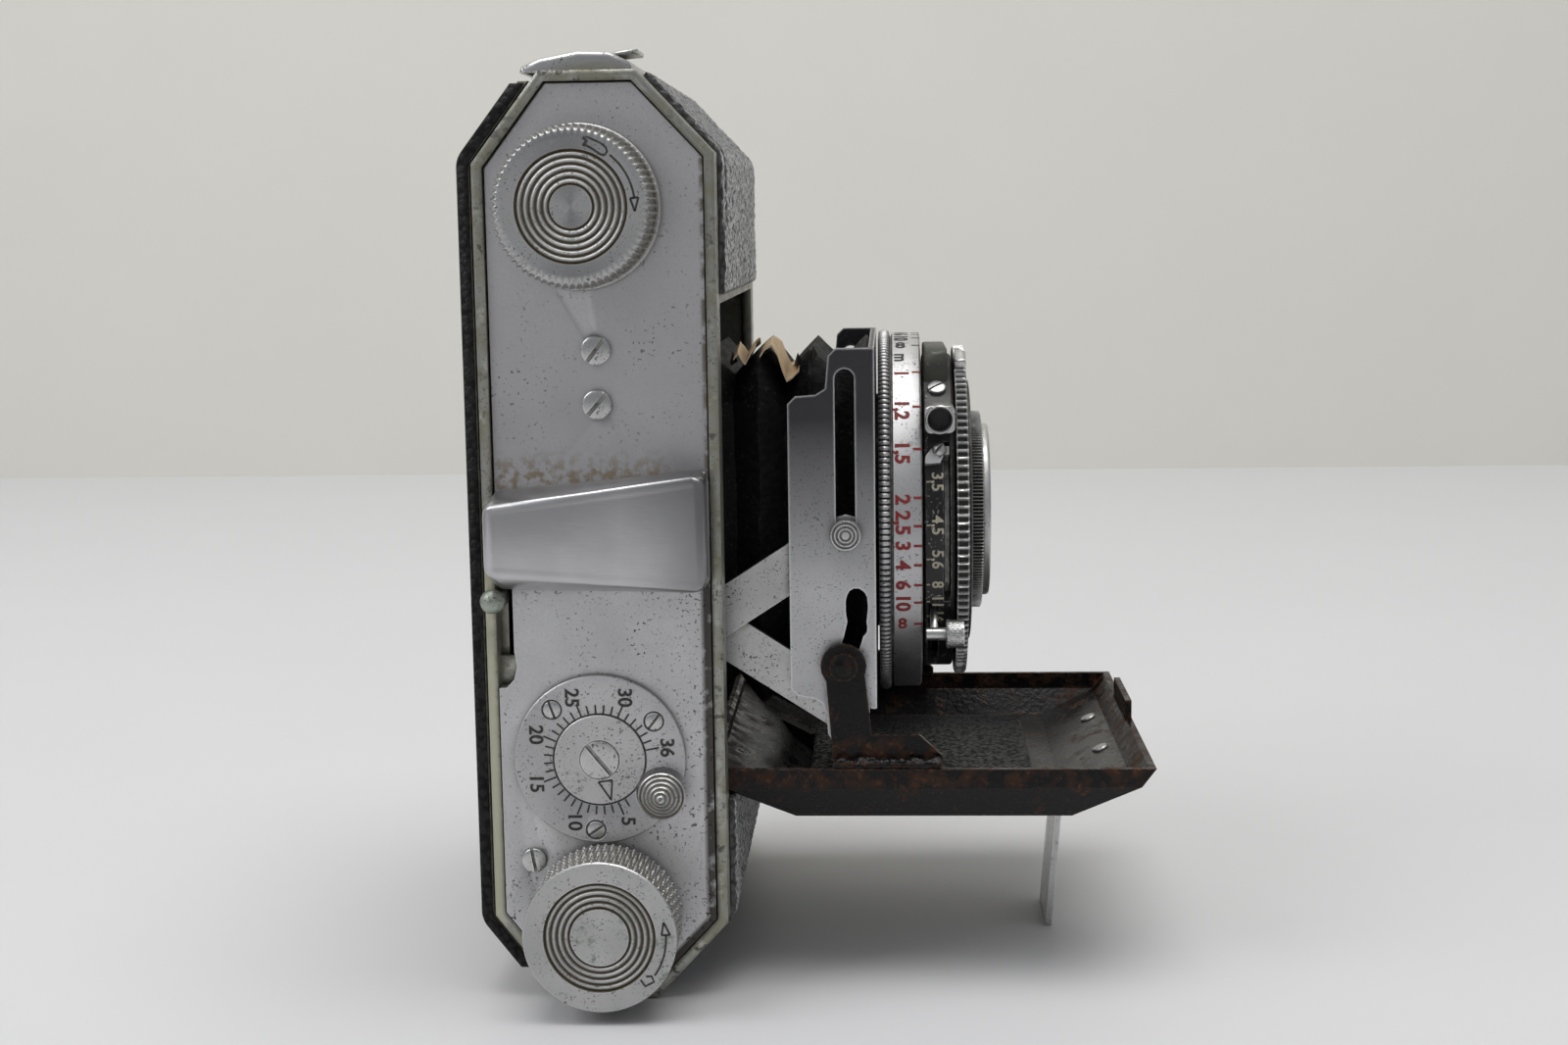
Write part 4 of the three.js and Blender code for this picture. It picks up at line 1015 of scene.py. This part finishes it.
counter_disc = [(0, -4), (1.4, -4), (1.4, 0.4), (5.8, 0.4), (5.95, 0.55), (5.95, 1.0), (5.85, 1.1),
                (2.62, 1.1), (2.56, 0.9), (0, 0.9)]
lathed("counter_disc_turned", counter_disc, "disc", "counter_disc", ["counter_disc"], ON_COUNTER)
pointer = [(1.4, -5.35), (-0.2, -2.95), (1.6, -2.7), (1.4, -5.35)]
pointer_mark = [ribbon([a, b], 0.24) for a, b in zip(pointer, pointer[1:])]
marks("counter_pointer", pointer_mark, 1.1, "counter_disc", ON_COUNTER)
screw("counter_centre_head", 2.5, 0.95, 1.4, -51, ON_COUNTER, "counter_disc", ["counter_centre_screw"], 0.6)

release = [(0, -4), (2, -4), (2, 1.95), (2.9, 2), (3.1, 2.15), (3.1, 2.7), (2.95, 2.85)]
for k in range(5):
    r, h = 2.75 - 0.52 * k, 2.85 + 0.36 * k
    release += [(r, h - 0.12), (r - 0.1, h + 0.2), (r - 0.26, h + 0.34), (r - 0.42, h + 0.26)]
lathed("release_button_turned", release + [(0, 4.3)], "knob", "release_button", ["release_button"],
       at(TOP, *RELEASE), 96)

ball = bmesh.new()
bmesh.ops.create_uvsphere(ball, u_segments=48, v_segments=32, radius=1.6)
for vert in ball.verts:
    vert.co *= 1 + 0.03 * noise.noise(vert.co * 1.3)
    vert.co.z += 1.9
stem = softened(block((0.3, 1.4), (-0.8, 0.8), (-3.4, 1.7)), 0.15, 2)
piece("advance_release_ball", joined(ball, stem), "patina", "advance_release", ["advance_release"],
      at(TOP, *ADVANCE))

# ---- bellows


def bellows_section(across, up, corner):
    """A rectangle with its corners cut off, as points round it."""
    corners = [(across, up - corner), (across - corner, up)]
    corners += [(-a, b) for a, b in reversed(corners)]
    corners += [(-a, -b) for a, b in corners]
    points = []
    for a, b in zip(corners, corners[1:] + corners[:1]):
        count = 20 if math.dist(a, b) > 10 else 3
        points += [tuple(p + (q - p) * k / count for p, q in zip(a, b)) for k in range(count)]
    return points


BELLOWS_BACK = -7.1
BELLOWS_FRONT = 34.7
RIDGE = 20.1  # one ridge of the bellows, and the distance to the next
PLEAT = 7.1


def bellows():
    back, front, rows = BELLOWS_BACK, BELLOWS_FRONT, 72
    bm = bmesh.new()
    rings = []
    for i in range(rows + 1):
        height = back + (front - back) * i / rows
        phase = ((height - RIDGE) / PLEAT + 0.5) % 1.0
        wave = (1 - abs(1 - 2 * phase)) ** 0.9
        ring = []
        for a, b in bellows_section(19 + 3.2 * wave, 20.7 + 3.8 * wave, 3.3 + 0.8 * (1 - wave)):
            sag = noise.noise(Vector((a, b, height)) * 0.16)
            fold = 0.25 * noise.noise(Vector((a * 0.7, b * 0.12, height * 1.1)))
            ring.append(bm.verts.new((a * (1 + 0.008 * sag) - 0.2 * abs(fold), b * (1 + 0.006 * sag),
                                      height + 0.3 * sag)))
        rings.append(ring)
    stitch(bm, rings, True)
    for ring, end in ((rings[0], back), (rings[-1], front)):
        for vert in ring:
            vert.co.z = end
    return bm


def sheet(rows, thickness):
    """A thin closed sheet through rows of points, with its second face below the first."""
    bm = bmesh.new()
    rims = []
    for drop in (0, thickness):
        grid = [[bm.verts.new((x, y, z - drop)) for x, y, z in row] for row in rows]
        stitch(bm, grid)
        rims.append([row[0] for row in grid] + grid[-1][1:] + [row[-1] for row in reversed(grid[:-1])]
                    + grid[0][-2:0:-1])
    stitch(bm, rims, True)
    return bm


shell = temporary(bellows())
thick = shell.modifiers.new("thickness", "SOLIDIFY")
thick.thickness = 0.7
thick.offset = -1
skin = baked(shell)
SPIKES = ((25.4, 84.4), (27.5, 85.3), (16.6, 84.6))  # X and Z of the points of the torn leather
for x, z in SPIKES:
    spike = hull([(x - 0.5, -17, z - 1.6), (x + 0.6, -17, z - 1.5), (x, -21.6, z - 1.8), (x + 0.1, -20, z)])
    skin = joined(skin, moved(spike, LENS.inverted()))
bellows_pieces = [piece("bellows_leather", skin, "bellows", BODY, ["bellows"], LENS, angle=35)]
# The torn ridges show the lining: each flap is a line in X and Z, pulled out from one Y to another.
FLAPS = {
    "torn_lining_a": (-21.5, -9, [(16.9, 84.6), (17.5, 85.4), (18.1, 84.4), (18.5, 84.0), (19.2, 85.3),
                                  (19.9, 86.1)]),
    "torn_lining_b": (-21, -3, [(20.4, 84.7), (21.1, 85.6), (22.0, 86.2), (22.8, 85.1), (23.4, 83.2),
                                (24.0, 81.9), (24.8, 82.4), (25.7, 83.1)]),
}
for name, (near, far, line) in FLAPS.items():
    rows = []
    for k in range(13):
        y = near + (far - near) * k / 12
        wander = [noise.noise(Vector((x, y, 3.1)) * 0.35) for x, _ in line]
        drop = 0.9 * abs(2 * k / 12 - 1) ** 3
        rows.append([(x, y + 0.9 * w, z + 0.7 * w - drop) for (x, z), w in zip(line, wander)])
    bellows_pieces.append(piece(name, sheet(rows, 0.3), "lining", BODY, angle=70))
for obj in bellows_pieces:
    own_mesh(obj)

# ---- lens and shutter

SCALE = 25.5  # radius of the focusing scale's band
SCALE_MIDDLE = 39.35
CASE = 22.5  # radius of the shutter's case
COCKING_TURN = 212.5
POINTER_TURN = 152.5


def bead_knurl(count, depth, low, high, outer):
    """A rope of round beads."""
    middle, half = (low + high) / 2, (high - low) / 2

    def cut(turn, height):
        across = (height - middle) / half
        bead = math.sqrt(max(0.0, 1 - (2 * (turn % 1.0) - 1) ** 2))
        return 1 - bead + 0.7 * across * across
    return knurl(count, depth, low, high, outer - 0.9, cut)


focus_profile = (
    [(17.6, 36.2), (24.9, 36.2), (25.2, 36.25)]
    + column(26, 36.3, 37.75, 8)
    + [(25.2, 37.85), (25.0, 37.95), (25.0, 38.05), (25.4, 38.15), (SCALE, 38.25), (SCALE, 41.8),
       (25.4, 41.95), (25.1, 42.1), (17.6, 42.1)]
)
lathed("focus_ring_turned", focus_profile, "scale", "focus_ring", ["focus_ring"], LENS, 1000,
       bead_knurl(200, 0.42, 36.3, 37.75, 26), 40)


def on_ring(bm, radius, turn, height):
    """Wraps flat figures round the lens, tops forward, at an angle up from the near side."""
    for vert in bm.verts:
        u, v, w = vert.co
        x, y = polar(radius + w, turn - math.degrees(u / radius))
        vert.co = (-x, y, height + v)
    return bm


def endless(size):
    """The sign for infinity, from an eight laid on its side."""
    return moved(figures("8", size), turned_by(90))


def ring_marks(name, look, body, radius, signs, height, ticks, low, high, width):
    """Signs and ticks round the lens, each at its turn."""
    whole = [on_ring(sign, radius, turn, height) for turn, sign in signs.items()]
    for turn in ticks:
        whole.append(on_ring(block((-width / 2, width / 2), (low, high), (-0.05, 0.03)), radius, turn, 0))
    piece(name, joined(*whole), look, body, place=LENS)


FOCUS_FIGURES = {"10": -22, "6": -16, "4": -9.5, "3": -3.5, "2,5": 3.5, "2": 10.5, "1,5": 25, "1,2": 39.5,
                 "1": 54.5}
FOCUS_TICKS = (-30, -22, -16, -9.5, -3.5, 2.5, 11, 26, 40.5, 55)
signs = {turn: figures(text, 2.7, bold=0.03) for text, turn in FOCUS_FIGURES.items()}
signs[-30] = endless(2.5)
ring_marks("focus_figures_red", "red", "focus_ring", SCALE, signs, SCALE_MIDDLE, FOCUS_TICKS, 40.9, 42,
           0.34)
SECOND_FIGURES = {"m": 63, "10": 79, "6": 85, "4": 91}
SECOND_TICKS = (71.5, 79, 85, 91)
signs = {turn: figures(text, 2.7) for text, turn in SECOND_FIGURES.items()}
signs[71.5] = endless(2.9)
ring_marks("focus_figures_black", "lens_mark", "focus_ring", SCALE, signs, SCALE_MIDDLE, SECOND_TICKS,
           40.9, 42, 0.25)

housing = lathe([
    (13.6, 33), (16.8, 33), (16.8, 42.35), (22.2, 42.4), (CASE, 42.6), (CASE, 46.2), (22.3, 46.45),
    (21.6, 46.5), (18.2, 46.5), (18.2, 48.3), (10.4, 48.3), (10.4, 46), (20.5, 46), (20.5, 43.6),
    (10.4, 43.6), (10.4, 41.2), (13.6, 41.2),
], 160)
slots = [
    prism(sector(18.5, 24, COCKING_TURN - 5, COCKING_TURN + 41), 42.9, 44.3),
    prism(sector(19.5, 24, POINTER_TURN - 4, POINTER_TURN + 54), 45, 45.9),
]
piece("shutter_case", combined(housing, *slots), "black", "shutter", ["shutter_housing"], LENS, bevel=0.08)
gear = softened(prism([(-11.5, 17), (10, 18.5), (10, 21.4), (9.2, 22.9), (7.6, 23.8), (-9.6, 23.9),
                       (-11, 23.3), (-11.5, 21.8)], 42.6, 45.8), 0.3, 3)
gear = combined(gear, prism(disc((0, 0), 21.6, 96), 40, 48))
piece("gear_block", gear, "olive", "shutter", place=LENS, angle=30)


def on_rim(turn, radius, height):
    """A place on the shutter's rim with Z outwards, at an angle up from the near side."""
    x, y = polar(1, turn)
    out = Vector((-x, y, 0))
    forward = Vector((0, 0, 1))
    axes = Matrix((forward, out.cross(forward), out)).transposed().to_4x4()
    return LENS @ Matrix.Translation(out * radius + forward * height) @ axes


screw("gear_block_screw", 1.3, 0, 0.75, 35, on_rim(55, 22.4, 44.3), "shutter", slot=0.35)
APERTURES = {"3,5": 17, "4,5": 2, "5,6": -10, "8": -19.5, "11": -26.5, "16": -33}
signs = {turn: figures(text, 2.2) for text, turn in APERTURES.items()}
ring_marks("aperture_figures", "cream", "shutter", CASE, signs, 44.1, signs, 42.65, 43.1, 0.2)


def rounded(half_x, half_y, corner, steps=6):
    """A rectangle with round corners."""
    outline = []
    for k, (sx, sy) in enumerate(((1, 1), (-1, 1), (-1, -1), (1, -1))):
        centre = (sx * (half_x - corner), sy * (half_y - corner))
        outline += arc(centre, corner, 90 * k, 90 * k + 90, steps)
    return outline


ON_SOCKET = at(NEAR, 44.5, 75.35)
socket = softened(prism(rounded(2.0, 1.85, 0.8), 15.8, 22.9), 0.16, 2, 60)
thread = [(1.5 + 0.1 * (k % 2), 16.6 + 0.23 * k) for k in range(26)]
bore = lathe([(0, 16.6)] + thread + [(1.62, 22.7), (1.85, 23), (1.85, 24), (0, 24)], 48)
lip = lathe([(1.62, 22.6), (1.95, 22.6), (1.95, 22.95), (1.85, 23.08), (1.7, 23.08), (1.62, 22.95)], 64)
socket = joined(combined(socket, bore), lip)
piece("cable_socket_nut", socket, "steel", "shutter", ["cable_socket"], ON_SOCKET)
plunger = [(0, 16.4), (1.4, 16.4), (1.4, 20.9), (0, 20.9)]
lathed("cable_socket_plunger", plunger, "black", "shutter", (), ON_SOCKET, 32)

head = lathe([(0, -0.6), (0.95, -0.6), (0.95, 0.25), (0.86, 0.55), (0.6, 0.76), (0.3, 0.86), (0, 0.88)], 40)
head = moved(combined(head, block((-2, 2), (-0.17, 0.17), (0.45, 2))), turned_by(50))
wedge = prism([(-1.95, -2.1), (0.15, -1.95), (0.65, -0.9), (0, 0.4), (-1, 0.3), (-1.9, -1.0)], -0.7, 0.2)
pointer = joined(softened(wedge, 0.12, 2), head)
piece("aperture_pointer", pointer, "steel", "aperture_lever", ["aperture_lever"],
      on_rim(180 - POINTER_TURN, 23.35, 44.4))
arm = prism(sector(19.8, 23.2, POINTER_TURN - 1.5, POINTER_TURN + 1.5, 6), 45.15, 45.75)
lever = combined(lathe([(12, 45.15), (20.2, 45.15), (20.2, 45.75), (12, 45.75)], 96), arm, operation="UNION")
piece("aperture_ring", lever, "steel", "aperture_lever", place=LENS)

speed_profile = (
    [(18.6, 46.8), (23.4, 46.8), (23.7, 46.96)]
    + column(23.7, 47.0, 48.2, 2)
    + [(23.4, 48.4), (22.6, 48.45), (22.4, 48.35), (18.6, 48.35)]
)
speed = lathe(speed_profile, 960, straight_knurl(132, 0.6, 46.95, 48.25, 23.6))
grip = softened(prism(sector(22.6, 24.9, 110, 117, 8), 46.8, 48.4), 0.2, 2)
piece("speed_ring_turned", joined(speed, grip), "ring", "speed_ring", ["speed_ring"], LENS, angle=40)

cell_profile = (
    [(8.8, 44.8), (10.1, 44.8), (10.1, 48.9), (13.9, 48.9), (14.1, 49.05)]
    + column(14.2, 49.2, 50.6, 2)
    + [(13.9, 50.75), (12.8, 50.8), (12.4, 50.9), (12.4, 51.55), (12.2, 51.8), (11.6, 51.8), (11.1, 51.5),
       (9.6, 50.4), (9.3, 50.35), (8.8, 50)]
)
lathed("front_cell_ring", cell_profile, "cell", "shutter", ["front_cell"], LENS, 1056,
       straight_knurl(176, 0.4, 49.15, 50.65, 14.1), 40)
front_disc = [(10.1, 48.6), (18.5, 48.6), (18.7, 48.7), (18.7, 48.95), (18.5, 49.05), (14.0, 49.05),
              (10.1, 49.0)]
lathed("front_disc", front_disc, "edge_black", "shutter", (), LENS, 160)
dome = [(8.5 * x, 48.9 + 1.2 * y) for x, y in arc((0, 0), 1, 0, 90, 12)[:-1]]
element = [(0, 45.6), (4.5, 45.9), (8.5, 46.4)] + dome + [(0, 50.1)]
lathed("front_lens_element", element, "glass", "shutter", ["front_glass"], LENS, 96)
rear = [(8.6, 28.5), (9.9, 28.5), (10.1, 28.7), (10.1, 43.1), (8.6, 43.1), (8.6, 30.2), (8.9, 29)]
lathed("rear_cell_tube", rear, "black", "shutter", ["rear_cell"], LENS, 96)

leaves = []
for k in range(3):
    leaf = prism([(0, 0)] + arc((0, 0), 18.2, 0, 128, 20), 43.86 + 0.1 * k, 43.95 + 0.1 * k)
    leaves.append(moved(leaf, turned_by(120 * k)))
piece("shutter_leaves", joined(*leaves), "black", "shutter", ["shutter_blades"], LENS)

arm = softened(prism(sector(19, 26.4, COCKING_TURN - 1.6, COCKING_TURN + 1.6, 6), 43.1, 44.1), 0.1, 2)
stalk = lathe([(0, 42.5), (0.8, 42.5), (0.9, 42.6), (0.9, 45.3), (0, 45.3)], 32)
head_profile = (
    [(0, 45.2), (1.7, 45.2), (2, 45.35)]
    + column(2.0, 45.5, 47.3, 8)
    + [(1.8, 47.6), (1.4, 47.7), (0.9, 47.6), (0, 47.55)]
)
head = lathe(head_profile, 144, diamond_knurl(20, 0.22, 45.5, 47.3, 2))
knob = moved(joined(stalk, head), at(ROW, *polar(26.3, COCKING_TURN)))
piece("cocking_lever_knurled", joined(arm, knob), "steel", "cocking_lever", ["cocking_lever"], LENS)

# ---- strut buttons, welds, rivets and pins


def lumpy(angle, radius, height):
    return radius + 0.5 * noise.noise(0.8 * Vector((math.cos(angle), math.sin(angle), height)))


button = [(0, 26.35), (0.8, 26.35), (0.8, 28.3), (2.0, 28.3), (2.1, 28.4), (2.1, 28.9), (1.98, 29.08)]
for r in (1.72, 1.22, 0.72):
    button += [(r + 0.1, 29.1), (r, 28.82), (r - 0.14, 28.82), (r - 0.22, 29.1)]
button += [(0, 29.12)]
weld = [(0, 0), *column(0.9, 0.1, 14.1, 70), (0, 14.2)]
bracket_rivet = [(0, 28.8), (1.8, 28.8), (1.8, 29), (1.6, 29.4), (1.1, 29.7), (0.5, 29.82), (0, 29.84)]
for side, base, way in (("near", NEAR, 1), ("far", FAR, -1)):
    place = at(base, 31.85 * way, 60.7)
    nodes = [f"strut_button_{side}"]
    lathed(f"strut_button_head_{side}", button, "steel", f"button_{side}", nodes, place, 72)
    bead = moved(lathe(weld, 24, lumpy), turned_by(90 * way, "Y"))
    piece(f"bracket_weld_{side}", bead, "weld", "bed", place=at(base, 30.2 * way, 30.0, 29.9), angle=60)
    place = at(base, 31.4 * way, 43.1)
    lathed(f"bracket_rivet_{side}", bracket_rivet, "rusty", "bed", (), place, 48, angle=60)

catch_rivet = [(0, -0.25), (1.2, -0.25), (1.2, 0.12), (1.05, 0.3), (0.6, 0.42), (0, 0.46)]
slope = Matrix.Rotation(math.atan2(-3.7, 8.55), 4, "Y")  # of the bed's front wall
for side, y in (("near", -6), ("far", 13)):
    lathed(f"bed_catch_rivet_{side}", catch_rivet, "satin", "bed", (), at(ROW, 67.7, y, 26.2) @ slope, 40)

for name, place, reach in (("back_hinge_pin", BACK_HINGE, 30.2), ("bed_hinge_pin", BED_HINGE, 32.8)):
    pin = [(0, -reach), (0.5, -reach), (0.65, -reach + 0.15), (0.65, reach - 0.15), (0.5, reach), (0, reach)]
    lathed(f"{name}_turned", pin, "steel", BODY, [name], at(NEAR, *place), 32)

# ---- floor, light and camera, in metres


def backdrop(name, points, colour, rough):
    mesh = bpy.data.meshes.new(name)
    mesh.from_pydata(points, [], [(0, 1, 2, 3)])
    made = Finish(name, "stage", colour, rough)
    mesh.materials.append(made.tint(made.noise(60, 0.3, 0.7), shaded(colour, 0.97), 0.5).done())
    linked(name, mesh)


WALL_Y = 0.57
backdrop("floor", [(-3, -3, 0), (3, -3, 0), (3, WALL_Y, 0), (-3, WALL_Y, 0)], (0.665, 0.665, 0.675), 0.5)
backdrop("wall", [(-3, WALL_Y, 0), (3, WALL_Y, 0), (3, WALL_Y, 3), (-3, WALL_Y, 3)], (0.75, 0.738, 0.68), 0.7)


def area_light(name, place, target, size, energy, colour):
    light = bpy.data.lights.new(name, "AREA")
    light.shape = "RECTANGLE"
    light.size, light.size_y = size
    light.energy = energy
    light.color = colour
    obj = linked(name, light)
    obj.location = place
    obj.rotation_euler = (Vector(target) - Vector(place)).to_track_quat("-Z", "Y").to_euler()


area_light("window", (-0.75, -0.35, 0.75), (0, 0, 0.06), (0.6, 0.6), 3.8, (0.97, 0.98, 1.0))
area_light("ceiling", (0.12, -0.12, 1.15), (0.03, 0.05, 0.05), (0.9, 0.7), 8, (1, 0.99, 0.97))

# The room's light is stronger from above.
world = bpy.data.worlds.new("room")
world.use_nodes = True
background = world.node_tree.nodes["Background"]
sky = world.node_tree.nodes.new("ShaderNodeTexCoord")
height = world.node_tree.nodes.new("ShaderNodeSeparateXYZ")
shade = world.node_tree.nodes.new("ShaderNodeMapRange")
for key, value in {"From Min": -0.1, "From Max": 0.9, "To Min": 0.16, "To Max": 0.5}.items():
    shade.inputs[key].default_value = value
world.node_tree.links.new(sky.outputs["Generated"], height.inputs[0])
world.node_tree.links.new(height.outputs["Z"], shade.inputs["Value"])
world.node_tree.links.new(shade.outputs[0], background.inputs["Strength"])
background.inputs["Color"].default_value = (0.93, 0.95, 1.0, 1)
bpy.context.scene.world = world
bpy.context.scene.view_settings.view_transform = "Standard"

EYE = (0.03761, -0.30813, 0.10157)
FOCAL_LENGTH = 49.1
yaw, pitch, roll = (math.radians(v) for v in (-2.84, -7.95, -0.82))
forward = Vector((math.sin(yaw) * math.cos(pitch), math.cos(yaw) * math.cos(pitch), math.sin(pitch)))
level = Vector((math.cos(yaw), -math.sin(yaw), 0))
upright = level.cross(forward)
right = level * math.cos(roll) + upright * math.sin(roll)
up = upright * math.cos(roll) - level * math.sin(roll)
lens = bpy.data.cameras.new("camera")
lens.sensor_width = 36
lens.lens = FOCAL_LENGTH
lens.clip_start = 0.01
viewer = linked("camera", lens)
viewer.matrix_world = Matrix.Translation(EYE) @ Matrix((right, up, -forward)).transposed().to_4x4()
bpy.context.scene.camera = viewer
